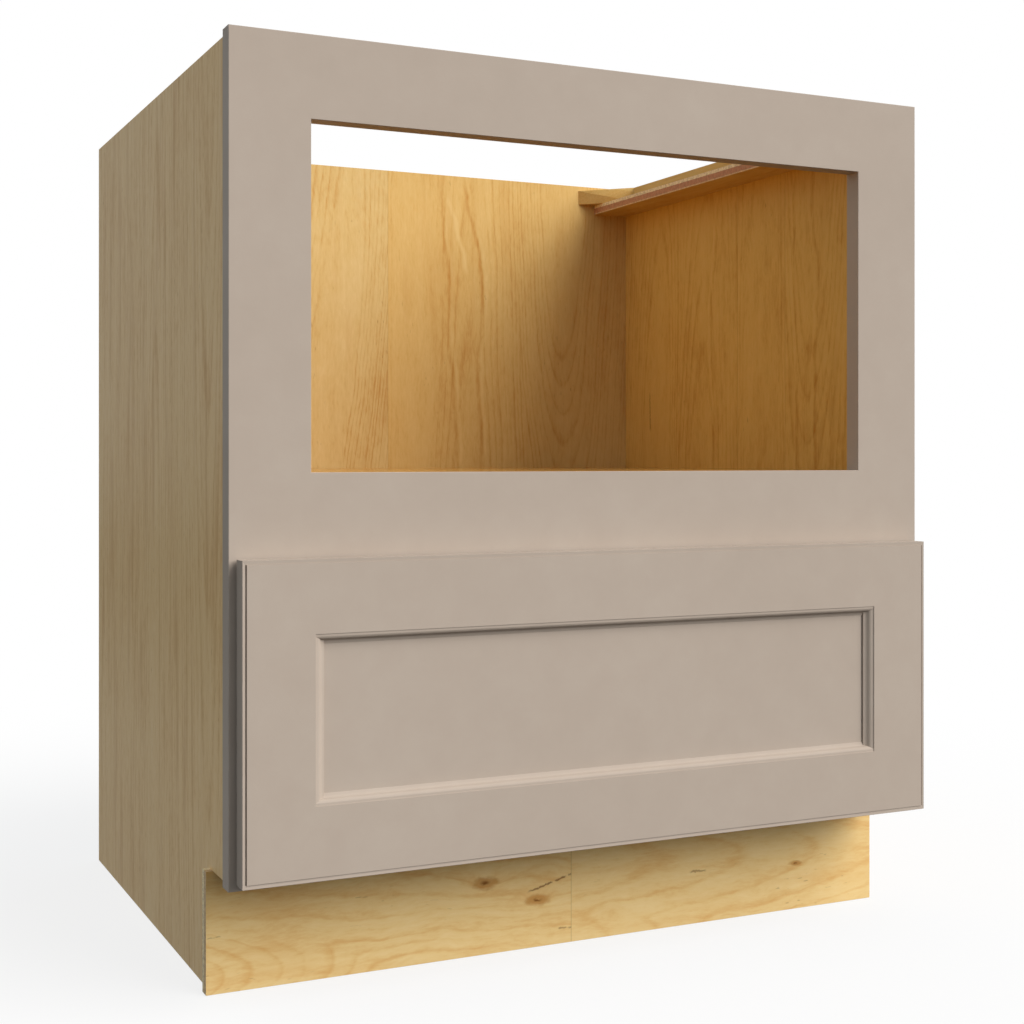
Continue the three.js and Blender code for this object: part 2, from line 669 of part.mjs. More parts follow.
function boxFrontBoard() {
  const blank = boxGeometry([-boxHalf, boxHalf], [boxFront, boxFrontInner], [boxBottom, boxTop]);
  const grooveY = [boxFrontInner - BOX_GROOVE_DEPTH, boxFrontInner + CUT_OVERSHOOT];
  const tools = [
    bottomGroove([-boxHalf - CUT_OVERSHOOT, boxHalf + CUT_OVERSHOOT], grooveY),
    ...tailSockets(boxFrontInner, boxFront),
    ...frontScrewHoles(),
  ];
  return node('drawer_box_front', 'boxMaple', cut(blank, tools));
}

// The back board is notched at both lower corners, where the slides pass, and drilled for their hooks.
function boxBackBoard() {
  const blank = boxGeometry([-boxHalf, boxHalf], [boxRearInner, boxRear], [boxBottom, boxTop]);
  const through = [boxRearInner - CUT_OVERSHOOT, boxRear + CUT_OVERSHOOT];
  const notches = SIDES.map(([, side]) => boxGeometry(
    sideSpan(side, drawerMemberInner - SLIDE_LIFT, boxHalf + CUT_OVERSHOOT),
    through,
    [boxBottom - CUT_OVERSHOOT, bottomUnderside],
  ));
  const hookHoles = SIDES.map(([, side]) => {
    const hookZ = bottomUnderside + HOOK_HEIGHT;
    const mouth = new THREE.Vector3(side * slideCentre, boxRear + CUT_OVERSHOOT, hookZ);
    return rod(HOOK_DIAMETER / 2 + FIT_GAP, mouth, mouth.clone().setY(boxRear - HOOK_REACH - FIT_GAP));
  });
  const grooveY = [boxRearInner - CUT_OVERSHOOT, boxRearInner + BOX_GROOVE_DEPTH];
  const tools = [
    bottomGroove([-boxHalf - CUT_OVERSHOOT, boxHalf + CUT_OVERSHOOT], grooveY),
    ...tailSockets(boxRearInner, boxRear),
    ...notches,
    ...hookHoles,
  ];
  return node('drawer_box_back', 'boxMaple', cut(blank, tools));
}

function drawerBox() {
  const tucked = BOX_GROOVE_DEPTH - FIT_GAP;
  return grouped([
    boxFrontBoard(),
    boxBackBoard(),
    ...SIDES.map(([label, side]) => boxSide(label, side)),
    board(
      'drawer_box_bottom',
      'boxMaple',
      [-boxInnerHalf - tucked, boxInnerHalf + tucked],
      [boxFrontInner - tucked, boxRearInner + tucked],
      [bottomUnderside, bottomUnderside + BOTTOM_THICKNESS],
    ),
  ]);
}

// ---- Undermount slides -------------------------------------------------------------------------------

const slideScrewHeight = slideBottom + FLANGE_HEIGHT * 0.55;
const slideScrewDepths = [0.1, 0.5, 0.9].map((share) => slideFront + share * slideLength);

function slideScrewSeats(side) {
  return slideScrewDepths.map(
    (y) => new THREE.Vector3(side * (openingHalf - STEEL_THICKNESS), y, slideScrewHeight),
  );
}

function slideScrewHoles(side) {
  const outward = UNIT_X.clone().multiplyScalar(side);
  return slideScrewSeats(side).map((seat) => {
    const start = seat.clone().addScaledVector(outward, -CUT_OVERSHOOT);
    const tip = seat.clone().addScaledVector(outward, STEEL_THICKNESS + SCREW_BITE + FIT_GAP);
    return rod(SCREW_DIAMETER / 2 + FIT_GAP, start, tip);
  });
}

// Fixed member: a tall flange on the mounting block, a web under the drawer side and two guide upstands.
function cabinetMember(label, side) {
  const top = slideBottom + GUIDE_HEIGHT;
  const webTop = slideBottom + STEEL_THICKNESS;
  const flangeInner = openingHalf - STEEL_THICKNESS;
  const innerGuide = drawerMemberInner;
  const outerGuide = drawerMemberOuter - STEEL_THICKNESS;
  const outline = [
    [innerGuide, slideBottom],
    [openingHalf, slideBottom],
    [openingHalf, slideBottom + FLANGE_HEIGHT],
    [flangeInner, slideBottom + FLANGE_HEIGHT],
    [flangeInner, webTop],
    [outerGuide + STEEL_THICKNESS, webTop],
    [outerGuide + STEEL_THICKNESS, top],
    [outerGuide, top],
    [outerGuide, webTop],
    [innerGuide + STEEL_THICKNESS, webTop],
    [innerGuide + STEEL_THICKNESS, top],
    [innerGuide, top],
  ].map(([x, z]) => [side * x, z]);
  const profile = prismY(outline, [slideFront, slideFront + slideLength]);
  return node(`${label}_slide_cabinet_member`, 'steel', cut(profile, slideScrewHoles(side)));
}

// Middle member: a channel that is open towards the drawer side, between the two roller cages.
function intermediateMember(label, side) {
  const inner = slideCentre - INTERMEDIATE_WIDTH / 2;
  const outer = slideCentre + INTERMEDIATE_WIDTH / 2;
  const outline = [
    [inner, intermediateBottom],
    [outer, intermediateBottom],
    [outer, intermediateBottom + STEEL_THICKNESS],
    [inner + STEEL_THICKNESS, intermediateBottom + STEEL_THICKNESS],
    [inner + STEEL_THICKNESS, intermediateTop - STEEL_THICKNESS],
    [outer, intermediateTop - STEEL_THICKNESS],
    [outer, intermediateTop],
    [inner, intermediateTop],
  ].map(([x, z]) => [side * x, z]);
  const span = [intermediateFront, intermediateFront + slideLength - INTERMEDIATE_SHORTFALL];
  return node(`${label}_slide_intermediate_member`, 'steel', prismY(outline, span));
}

// Moving member: an inverted channel under the drawer bottom, with a slot for the lever's nose in its inner
// leg and a hook plate behind the back board.
function drawerMember(label, side) {
  const under = drawerMemberTop - STEEL_THICKNESS;
  const legBottom = drawerMemberTop - DRAWER_MEMBER_LEG;
  const outline = [
    [drawerMemberInner, legBottom],
    [drawerMemberInner + STEEL_THICKNESS, legBottom],
    [drawerMemberInner + STEEL_THICKNESS, under],
    [drawerMemberOuter - STEEL_THICKNESS, under],
    [drawerMemberOuter - STEEL_THICKNESS, legBottom],
    [drawerMemberOuter, legBottom],
    [drawerMemberOuter, drawerMemberTop],
    [drawerMemberInner, drawerMemberTop],
  ].map(([x, z]) => [side * x, z]);
  const plateFront = boxRear + FIT_GAP;
  const plateRear = plateFront + STEEL_THICKNESS;
  const hookZ = bottomUnderside + HOOK_HEIGHT;
  const plateX = sideSpan(side, slideCentre - HOOK_DIAMETER * 1.5, slideCentre + HOOK_DIAMETER * 1.5);
  const hookRoot = new THREE.Vector3(side * slideCentre, plateFront + STEEL_THICKNESS / 2, hookZ);
  const slot = boxGeometry(
    sideSpan(side, drawerMemberInner - CUT_OVERSHOOT, drawerMemberInner + STEEL_THICKNESS + CUT_OVERSHOOT),
    [leverNoseY - LOCK_LENGTH / 8, leverNoseY + LOCK_LENGTH / 8],
    [legBottom - CUT_OVERSHOOT, leverTop + FIT_GAP],
  );
  const body = join([
    prismY(outline, [drawerMemberFront, plateRear]),
    boxGeometry(plateX, [plateFront, plateRear], [under, hookZ + HOOK_DIAMETER]),
    rod(HOOK_DIAMETER / 2, hookRoot, hookRoot.clone().setY(boxRear - HOOK_REACH)),
  ]);
  return node(`${label}_slide_drawer_member`, 'steel', body.subtract(solid(slot)));
}

// Roller cage: a nylon strip with its rollers clipped in, so that they stand out above and below it.
function rollerCage(name, side, axisZ) {
  const front = intermediateFront + CAGE_REAR_OFFSET;
  const length = ROLLER_PITCH * ROLLERS_PER_CAGE;
  const x = side * slideCentre;
  const pieces = [boxGeometry(
    [x - CAGE_WIDTH / 2, x + CAGE_WIDTH / 2],
    [front, front + length],
    [axisZ - CAGE_THICKNESS / 2, axisZ + CAGE_THICKNESS / 2],
  )];
  for (let i = 0; i < ROLLERS_PER_CAGE; i += 1) {
    const y = front + ROLLER_PITCH * (i + 0.5);
    const ends = [-1, 1].map((end) => new THREE.Vector3(x + (end * ROLLER_LENGTH) / 2, y, axisZ));
    pieces.push(rod(ROLLER_DIAMETER / 2, ...ends));
  }
  return node(name, 'nylon', join(pieces));
}

function mountingBlock(label, side) {
  const blank = boxGeometry(
    sideSpan(side, openingHalf, sideInner),
    [FRAME_THICKNESS, backFront],
    [openingBottom, openingBottom + MOUNTING_BLOCK_HEIGHT],
  );
  return node(`${label}_slide_mounting_block`, 'plywood', cut(blank, slideScrewHoles(side)));
}

function slideNodes(label, side) {
  const lowerAxis = intermediateBottom - rollerSpace / 2;
  const upperAxis = intermediateTop + rollerSpace / 2;
  return grouped([
    mountingBlock(label, side),
    cabinetMember(label, side),
    intermediateMember(label, side),
    drawerMember(label, side),
    rollerCage(`${label}_slide_lower_cage`, side, lowerAxis),
    rollerCage(`${label}_slide_upper_cage`, side, upperAxis),
  ]);
}

// ---- Locking devices ---------------------------------------------------------------------------------

// Plate under the drawer bottom with the pivot pin of its lever.
function lockPlate(label, side) {
  const front = drawerMemberFront;
  const corner = LOCK_WIDTH / 5;
  const outline = [
    [lockOuter, front],
    [lockOuter, front + LOCK_LENGTH],
    [lockInner + corner, front + LOCK_LENGTH],
    [lockInner, front + LOCK_LENGTH - corner],
    [lockInner, front + corner],
    [lockInner + corner, front],
  ].map(([x, y]) => [side * x, y]);
  const plate = prismZ(outline, [drawerMemberTop - LOCK_PLATE_THICKNESS, drawerMemberTop]);
  const pinRoot = drawerMemberTop - LOCK_PLATE_THICKNESS / 2;
  const pinTop = new THREE.Vector3(side * leverPivotX, leverPivotY, pinRoot);
  const pin = rod(LEVER_PIVOT_DIAMETER / 2, pinTop, pinTop.clone().setZ(leverTop - LEVER_THICKNESS));
  return node(`${label}_locking_device`, 'greyPlastic', join([plate, pin]));
}

// Release lever: an eye on the pivot pin, an arm with a nose towards the slide, and a finger pad in front.
function releaseLever(label, side) {
  const eyeRadius = LEVER_PIVOT_DIAMETER + FIT_GAP;
  const armHalf = LEVER_PIVOT_DIAMETER / 2;
  const padFront = drawerMemberFront + LOCK_LENGTH / 10;
  const padRear = drawerMemberFront + LOCK_LENGTH / 4;
  const noseHalf = LOCK_LENGTH / 16;
  const noseTip = drawerMemberInner + LEVER_NOSE_REACH;
  const outline = [
    [leverPivotX - armHalf, leverPivotY],
    [leverPivotX - armHalf, padRear],
    [leverPivotX - 2 * armHalf, padFront],
    [leverPivotX + 3 * armHalf, padFront],
    [leverPivotX + armHalf, padRear],
    [leverPivotX + armHalf, leverNoseY - noseHalf],
    [noseTip, leverNoseY],
    [noseTip, leverNoseY + noseHalf],
    [leverPivotX + armHalf, leverNoseY + 2 * noseHalf],
    [leverPivotX + armHalf, leverPivotY],
  ].map(([x, y]) => [side * x, y]);
  const spanZ = [leverTop - LEVER_THICKNESS, leverTop];
  const pivot = new THREE.Vector3(side * leverPivotX, leverPivotY, spanZ[0]);
  const eye = rod(eyeRadius, pivot, pivot.clone().setZ(spanZ[1]));
  const bore = rod(
    LEVER_PIVOT_DIAMETER / 2 + FIT_GAP,
    pivot.clone().setZ(spanZ[0] - CUT_OVERSHOOT),
    pivot.clone().setZ(spanZ[1] + CUT_OVERSHOOT),
  );
  const body = join([prismZ(outline, spanZ), eye]).subtract(solid(bore));
  return node(`${label}_release_lever`, 'greyPlastic', body);
}

// ---- Assembly ----------------------------------------------------------------------------------------

const cabinet = new THREE.Group();
cabinet.add(
  grouped([
    ...SIDES.map(([label, side]) => sidePanel(`${label}_side_panel`, side)),
    ...caseBoards(),
    ...SIDES.flatMap(([label, side]) => topBracing(label, side)),
  ]),
  faceFrame(),
  grouped([
    drawerFront(),
    drawerBox(),
    ...SIDES.flatMap(([label, side]) => [lockPlate(label, side), releaseLever(label, side)]),
  ]),
  grouped(SIDES.map(([label, side]) => slideNodes(label, side))),
);
cabinet.position.y = -(CASE_DEPTH + frontFace) / 2;

export default cabinet;
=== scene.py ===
"""Looks, lights and camera of a microwave base cabinet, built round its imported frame.

Metres, X to the right, Y to the rear and Z up. The painted face frame and drawer front are each one seamless
painted mesh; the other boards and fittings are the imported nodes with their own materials.
"""

import math

import bmesh
import bpy
from mathutils import Matrix, Vector

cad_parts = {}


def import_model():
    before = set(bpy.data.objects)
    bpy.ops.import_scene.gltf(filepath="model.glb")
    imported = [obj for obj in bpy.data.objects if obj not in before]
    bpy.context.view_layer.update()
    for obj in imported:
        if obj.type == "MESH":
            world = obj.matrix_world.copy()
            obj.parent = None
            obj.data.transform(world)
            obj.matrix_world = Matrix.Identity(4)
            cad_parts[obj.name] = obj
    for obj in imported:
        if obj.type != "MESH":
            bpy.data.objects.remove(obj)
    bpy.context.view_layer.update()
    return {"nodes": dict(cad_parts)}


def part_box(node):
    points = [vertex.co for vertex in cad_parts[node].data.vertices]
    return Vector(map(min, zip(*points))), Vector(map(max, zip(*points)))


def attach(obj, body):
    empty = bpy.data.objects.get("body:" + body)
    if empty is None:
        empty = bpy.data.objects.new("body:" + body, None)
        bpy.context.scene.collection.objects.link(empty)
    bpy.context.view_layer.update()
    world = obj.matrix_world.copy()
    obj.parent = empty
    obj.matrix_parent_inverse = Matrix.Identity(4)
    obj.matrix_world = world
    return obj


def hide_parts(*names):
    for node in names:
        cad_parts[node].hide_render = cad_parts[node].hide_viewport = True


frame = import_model()
NODES = frame["nodes"]

AXES = "XYZ"
MM = 0.001  # a millimetre, in metres
SIDES = (("left", -1), ("right", 1))
WHITE = (1, 1, 1, 1)
WOOD_SPECULAR = 0.04
PAINT_SPECULAR = 0.03

# ---- Places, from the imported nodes

STILE_LOW, STILE_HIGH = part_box("face_frame_left_stile")
TOP_RAIL_LOW, TOP_RAIL_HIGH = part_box("face_frame_top_rail")
MIDDLE_RAIL_LOW, MIDDLE_RAIL_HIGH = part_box("face_frame_middle_rail")
BOTTOM_RAIL_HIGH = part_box("face_frame_bottom_rail")[1]
FRONT_LOW, FRONT_TOP_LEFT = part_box("drawer_front_left_stile")
FRONT_PANEL_LOW, FRONT_PANEL_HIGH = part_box("drawer_front_panel")
SLIDE_LOW, SLIDE_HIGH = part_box("right_slide_cabinet_member")
DECK_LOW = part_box("bottom_deck")[0]
SHELF_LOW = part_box("microwave_shelf")[0]

FRAME_HALF = -STILE_LOW.x
OPENING_HALF = -STILE_HIGH.x
FRAME_FACE = STILE_LOW.y
FRAME_BACK = STILE_HIGH.y
FRAME_THICKNESS = FRAME_BACK - FRAME_FACE


# ---- Material building

def srgb(red, green, blue):
    """Linear colour of an sRGB colour given in 0 to 255."""
    def channel(value):
        share = value / 255
        return share / 12.92 if share <= 0.04045 else ((share + 0.055) / 1.055) ** 2.4
    return (channel(red), channel(green), channel(blue), 1.0)


def empty_tree(owner):
    """Nodes and links of a material or world, with no node in it yet."""
    owner.use_nodes = True
    owner.node_tree.nodes.clear()
    return owner.node_tree.nodes, owner.node_tree.links


class Shade:
    """One material with short calls for the nodes that make its colour, roughness and bump."""

    def __init__(self, name, roughness, specular=0.5, metallic=0.0):
        self.material = bpy.data.materials.new(name)
        self.nodes, self.links = empty_tree(self.material)
        self.shader = self.add("BsdfPrincipled")
        self.shader.inputs["Roughness"].default_value = roughness
        self.shader.inputs["Specular IOR Level"].default_value = specular
        self.shader.inputs["Metallic"].default_value = metallic
        output = self.add("OutputMaterial")
        self.links.new(self.shader.outputs["BSDF"], output.inputs["Surface"])
        coordinates = self.add("TexCoord")
        self.place = coordinates.outputs["Object"]
        self.axes = self.split(self.place)
        self.normal = coordinates.outputs["Normal"]
        self.facing = [self.calc("ABSOLUTE", part) for part in self.split(self.normal)]

    def add(self, kind):
        return self.nodes.new("ShaderNode" + kind)

    def feed(self, value, socket):
        if isinstance(value, bpy.types.NodeSocket):
            self.links.new(value, socket)
        else:
            socket.default_value = value

    def split(self, vector):
        node = self.add("SeparateXYZ")
        self.feed(vector, node.inputs[0])
        return [node.outputs[axis] for axis in AXES]

    def join(self, *values):
        node = self.add("CombineXYZ")
        for value, socket in zip(values, node.inputs):
            self.feed(value, socket)
        return node.outputs[0]

    def calc(self, operation, *values):
        node = self.add("Math")
        node.operation = operation
        for value, socket in zip(values, node.inputs):
            self.feed(value, socket)
        return node.outputs[0]

    def times(self, first, second):
        return self.calc("MULTIPLY", first, second)

    def times_plus(self, value, factor, extra):
        return self.calc("MULTIPLY_ADD", value, factor, extra)

    def minus(self, first, second):
        return self.calc("SUBTRACT", first, second)

    def length(self, first, second):
        return self.calc("SQRT", self.times_plus(first, first, self.times(second, second)))

    def above(self, value, limit):
        return self.calc("GREATER_THAN", value, limit)

    def noise(self, vector, scale, detail=2.0, roughness=0.5):
        """Noise from -0.5 to 0.5."""
        node = self.add("TexNoise")
        self.feed(vector, node.inputs["Vector"])
        for name, value in (("Scale", scale), ("Detail", detail), ("Roughness", roughness)):
            node.inputs[name].default_value = value
        return self.minus(node.outputs["Fac"], 0.5)

    def span(self, value, low, high, smooth=True):
        """0 below low, 1 above high, or the other way round where low is the larger."""
        node = self.add("MapRange")
        node.interpolation_type = "SMOOTHSTEP" if smooth else "LINEAR"
        self.feed(value, node.inputs["Value"])
        if low > high:
            low, high = high, low
            node.inputs["To Min"].default_value = 1.0
            node.inputs["To Max"].default_value = 0.0
        node.inputs["From Min"].default_value = low
        node.inputs["From Max"].default_value = high
        return node.outputs["Result"]

    def ramp(self, value, stops, constant=False):
        node = self.add("ValToRGB")
        node.color_ramp.interpolation = "CONSTANT" if constant else "LINEAR"
        elements = node.color_ramp.elements
        while len(elements) < len(stops):
            elements.new(1.0)
        for element, (position, colour) in zip(elements, stops):
            element.position = position
            element.color = colour if isinstance(colour, tuple) else (colour, colour, colour, 1.0)
        self.feed(value, node.inputs[0])
        return node.outputs[0]

    def mix(self, share, first, second):
        """Colour between two colours."""
        node = self.add("Mix")
        node.data_type = "RGBA"
        self.feed(share, node.inputs[0])
        self.feed(first, node.inputs[6])
        self.feed(second, node.inputs[7])
        return node.outputs[2]

    def blend(self, share, first, second):
        """Number between two numbers."""
        return self.times_plus(share, self.minus(second, first), first)

    def total(self, *values):
        result = values[0]
        for value in values[1:]:
            result = self.calc("ADD", result, value)
        return result

    def finish(self, colour, roughness=None, height=None, depth=None):
        self.feed(colour, self.shader.inputs["Base Color"])
        if roughness is not None:
            self.feed(roughness, self.shader.inputs["Roughness"])
        if height is not None:
            bump = self.add("Bump")
            bump.inputs["Distance"].default_value = depth
            self.feed(height, bump.inputs["Height"])
            self.links.new(bump.outputs[0], self.shader.inputs["Normal"])
        return self.material


# ---- Wood

def wood_look(mid, dark, pale, fleck, **strengths):
    """Colours of a wood and how strongly each trait of its grain shows."""
    colours = {"mid": srgb(*mid), "dark": srgb(*dark), "pale": srgb(*pale), "fleck": srgb(*fleck)}
    usual = {
        "wander": 0.026, "kink": 0.008, "line": 0.13, "fibre": 0.8, "streak": 0.34, "mottle": 0.46,
        "cloud": 0.46, "pores": 0.45, "warmth": 0.22,
    }
    return {**colours, **usual, **strengths}


# Paler and less yellow than GOLDEN: painted light on the brightly lit left half of the back panel; the leaf's
# figure is its own.
BLOND_WITH_PAINTED_LIGHT = wood_look(
    (210, 179, 118), (186, 132, 62), (220, 193, 138), (134, 88, 40),
    line=0.29, kink=0.004, mottle=0.36, fibre=0.62,
)
GOLDEN = wood_look((211, 174, 107), (188, 136, 68), (220, 187, 124), (124, 78, 34), kink=0.0055, fibre=0.66)
# Deeper, more orange golden of the side panels' inner faces: painted shade of the case's inside; the figure
# is the wood's own.
AMBER_SHADE_DEEPENED = wood_look(
    (218, 177, 98), (188, 134, 60), (226, 187, 112), (118, 70, 26),
    line=0.24, kink=0.004, mottle=0.5, fibre=0.6,
)
# Darker golden of the shelf and deck: painted shade, which also dims the light the shelf throws onto the top
# rail's underside.
DEEP_PAINTED_SHADE = wood_look((194, 144, 74), (172, 116, 50), (204, 158, 88), (124, 78, 34))
OLIVE = wood_look(
    (236, 200, 143), (208, 158, 100), (242, 210, 158), (178, 128, 82),
    wander=0.014, kink=0.003, line=0.26, fibre=0.75, streak=0.55, mottle=0.2, cloud=0.26, pores=0.6,
    warmth=0.55,
)
TOE = wood_look(
    (240, 206, 142), (220, 160, 84), (247, 219, 162), (118, 66, 24),
    wander=0.04, kink=0.015, line=0.25, fibre=0.52, streak=0.36, mottle=0.34, cloud=0.3, pores=0.4,
    warmth=0.25,
)
MAPLE = wood_look(
    (226, 198, 152), (200, 162, 112), (236, 214, 174), (160, 118, 74),
    wander=0.014, kink=0.002, line=0.3, fibre=0.34, streak=0.28, mottle=0.15, cloud=0.24, pores=0.25,
)

TONE = 0.57  # tone of a wood's middle colour
DARKEST, PALEST = 0.1, 0.96  # tones of its dark and pale colours
LINE_LIFT = 0.04  # tone given back where ring lines take some
HEART = 6.6  # ring count within which a figure's heart is plain
HEART_FADE = 1.2
LEAF_SHIFT = 3.7  # metres along the log to the next leaf's grain
LEAF_SMOOTHING = 0.8  # rings over which two figures run into each other
RIPPLE = 0.0016  # finest sideways bend of the grain, in metres
CALM_RIM = (0.55, 1.1)  # shares of a calm spot where rings come back
SEAM_RIM = (0.0007, 0.0001)
SEAM_STRENGTH = 0.25
VENEER_BUMP = 0.12 * MM

# Noise behind each trait: how far it is drawn out along the grain, scale, detail and roughness.
GRAIN = {
    "wander": (0.35, 7.0, 2.0, 0.5),
    "kink": (0.5, 34.0, 3.0, 0.5),
    "ripple": (0.3, 150.0, 2.0, 0.5),
    "presence": (0.3, 11.0, 1.0, 0.5),
    "fibre": (0.18, 360.0, 3.0, 0.7),
    "streak": (0.08, 95.0, 3.0, 0.6),
    "mottle": (0.38, 58.0, 3.0, 0.6),
    "cloud": (0.5, 9.0, 3.0, 0.5),
    "warmth": (0.08, 55.0, 2.0, 0.5),
    "crowd": (0.4, 17.0, 1.0, 0.5),
    "pores": (0.2, 420.0, 1.0, 0.5),
}
# Noise values between which a trait comes in.
COMES_IN = {"presence": (-0.4, 0.0), "warmth": (0.02, 0.28), "crowd": (-0.06, 0.24), "pores": (0.2, 0.28)}


def wood_ramp(g, tone, look):
    return g.ramp(tone, [(DARKEST, look["dark"]), (TONE, look["mid"]), (PALEST, look["pale"])])


def figure_field(g, u, v, figure):
    """Count of growth rings from the middle of one figure. Its rings lie wider apart on its left side as skew
    goes below 1."""
    centre, start, depth, taper, lean, ring, skew = figure
    along = g.minus(v, start)
    across = g.times_plus(along, lean, g.minus(u, centre))
    across = g.calc("MAXIMUM", across, g.times(across, -skew))
    deep = g.times_plus(along, taper, depth)
    return g.calc("DIVIDE", g.length(deep, across), ring)


def leaf_field(g, u, v, figures):
    """Ring count of a leaf of veneer, whose figures run into each other."""
    field = figure_field(g, u, v, figures[0])
    for figure in figures[1:]:
        field = g.calc("SMOOTH_MIN", field, figure_field(g, u, v, figure), LEAF_SMOOTHING)
    return field


def elliptic(g, u, v, spot):
    """Distance from a spot's middle, as a share of its size: 0 in the middle and 1 at its rim."""
    middle_u, middle_v, size_u, size_v = spot
    first = g.calc("DIVIDE", g.minus(u, middle_u), size_u)
    second = g.calc("DIVIDE", g.minus(v, middle_v), size_v)
    return g.length(first, second)


CRACK_STRAY = 2.5  # widths that a crack strays from its line
CRACK_CORE = 0.3  # share of the width that is fully dark
CRACK_ENDS = (0.15, 0.8)  # shares of the length between which it is whole
CRACK_BREAKS = (-0.2, -0.02)


def crack_mask(g, u, v, start, end, width):
    """1 along a ragged line from start to end, both (across, along), and 0 away from it."""
    run_u, run_v = end[0] - start[0], end[1] - start[1]
    length = math.hypot(run_u, run_v)
    off_u = g.minus(u, start[0])
    off_v = g.minus(v, start[1])
    along = g.times_plus(off_u, run_u / length, g.times(off_v, run_v / length))
    aside = g.times_plus(off_u, run_v / length, g.times(off_v, -run_u / length))
    ragged = g.noise(g.join(u, v, 0.0), 220.0, 3.0)
    edge = g.calc("ABSOLUTE", g.times_plus(ragged, width * CRACK_STRAY, aside))
    first, last = CRACK_ENDS
    within = g.times(g.span(along, 0.0, length * first), g.span(along, length, length * last))
    broken = g.span(g.noise(g.join(u, v, 3.0), 130.0), *CRACK_BREAKS)
    return g.times(g.times(within, g.span(edge, width, width * CRACK_CORE)), broken)


STRAND_STRAY = 1.6  # widths that a strand strays from its line
STRAND_PALE_PLACE, STRAND_PALE_WIDTH = 1.3, 0.9  # the paler band beside it, in its widths
STRAND_FADE = 0.14  # share of its length over which it fades at each end
FLATTEST = 1e-4  # least sideways reach of a strand, in metres


def strand_tone(g, u, v, strand):
    """Change of tone along a wavy line through points (along, across): darker on it and paler beside it."""
    points, width, dark, pale = strand
    low, high = points[0][0], points[-1][0]
    left = min(across for _along, across in points)
    right = max(across for _along, across in points) + FLATTEST
    line = g.add("FloatCurve")
    curve = line.mapping.curves[0]
    places = [((along - low) / (high - low), (across - left) / (right - left)) for along, across in points]
    curve.points[0].location, curve.points[1].location = places[0], places[-1]
    for place in places[1:-1]:
        curve.points.new(*place)
    line.mapping.update()
    g.feed(g.span(v, low, high, smooth=False), line.inputs["Value"])
    middle = g.times_plus(line.outputs[0], right - left, left)
    waver = g.noise(g.join(g.times(u, 0.4), v, 0.0), 42.0)
    aside = g.minus(g.times_plus(waver, width * STRAND_STRAY, u), middle)
    on_line = g.span(g.calc("ABSOLUTE", aside), width, 0.0)
    off_pale = g.calc("ABSOLUTE", g.minus(aside, width * STRAND_PALE_PLACE))
    beside = g.span(off_pale, width * STRAND_PALE_WIDTH, 0.0)
    fade = (high - low) * STRAND_FADE
    within = g.times(g.span(v, low, low + fade), g.span(v, high, high - fade))
    return g.times(g.times_plus(beside, pale, g.times(on_line, -dark)), within)


RING_SHAPE = [(0.0, 0.12), (0.3, 0.0), (0.6, 0.3), (0.84, 1.0), (1.0, 0.12)]
RING_UNEVENNESS = 1.1
WEAKEST_LINE, LINE_RANGE = 0.35, 0.75


def ring_lines(g, field):
    """Latewood lines of uneven strength and spacing, 0 between them."""
    spread = g.noise(g.join(g.times(field, 0.55), 0.0, 0.0), 1.0, 1.0)
    uneven = g.times_plus(spread, RING_UNEVENNESS, field)
    line = g.ramp(g.calc("FRACT", uneven), RING_SHAPE)
    chance = g.add("TexWhiteNoise")
    chance.noise_dimensions = "1D"
    g.feed(g.calc("FLOOR", uneven), chance.inputs["W"])
    return g.times(line, g.times_plus(chance.outputs["Value"], LINE_RANGE, WEAKEST_LINE))


KNOT_REACH = 0.9  # how fast the swelling round a knot falls off
KNOT_SWELL = 2.2  # widths of the knot that it pushes the grain aside
KNOT_RAGGED = 1.3
HALO_RIM, EYE_RIM = (1.35, 0.6), (0.55, 0.15)  # rim and full depth, as shares of the knot
HALO_STRENGTH, EYE_STRENGTH = 0.8, 0.85
HALO_FLECK = 0.28  # share of the fleck's colour in the halo
EYE_BREAKS = (-0.12, 0.06)


def bent_grain(g, grain, u, v, look, knots):
    """Place across the grain, bent as the grain wanders and swells round the knots."""
    bent = g.times_plus(grain("wander"), look["wander"], u)
    bent = g.times_plus(grain("kink"), look["kink"], bent)
    bent = g.times_plus(grain("ripple"), RIPPLE, bent)
    for knot in knots:
        swelling = g.calc("EXPONENT", g.times(elliptic(g, u, v, knot), -KNOT_REACH))
        bent = g.times_plus(swelling, knot[2] * KNOT_SWELL, bent)
    return bent


def with_knot(g, u, v, w, knot, look, colour):
    distance = elliptic(g, u, v, knot)
    swirl = g.noise(g.join(u, g.times(v, 0.5), w), 150.0, 3.0)
    ragged = g.times_plus(swirl, KNOT_RAGGED, distance)
    halo = g.times(g.span(ragged, *HALO_RIM), HALO_STRENGTH)
    colour = g.mix(halo, colour, g.mix(HALO_FLECK, look["dark"], look["fleck"]))
    eye = g.times(g.span(ragged, *EYE_RIM), g.span(swirl, *EYE_BREAKS))
    return g.mix(g.times(eye, EYE_STRENGTH), colour, look["fleck"])


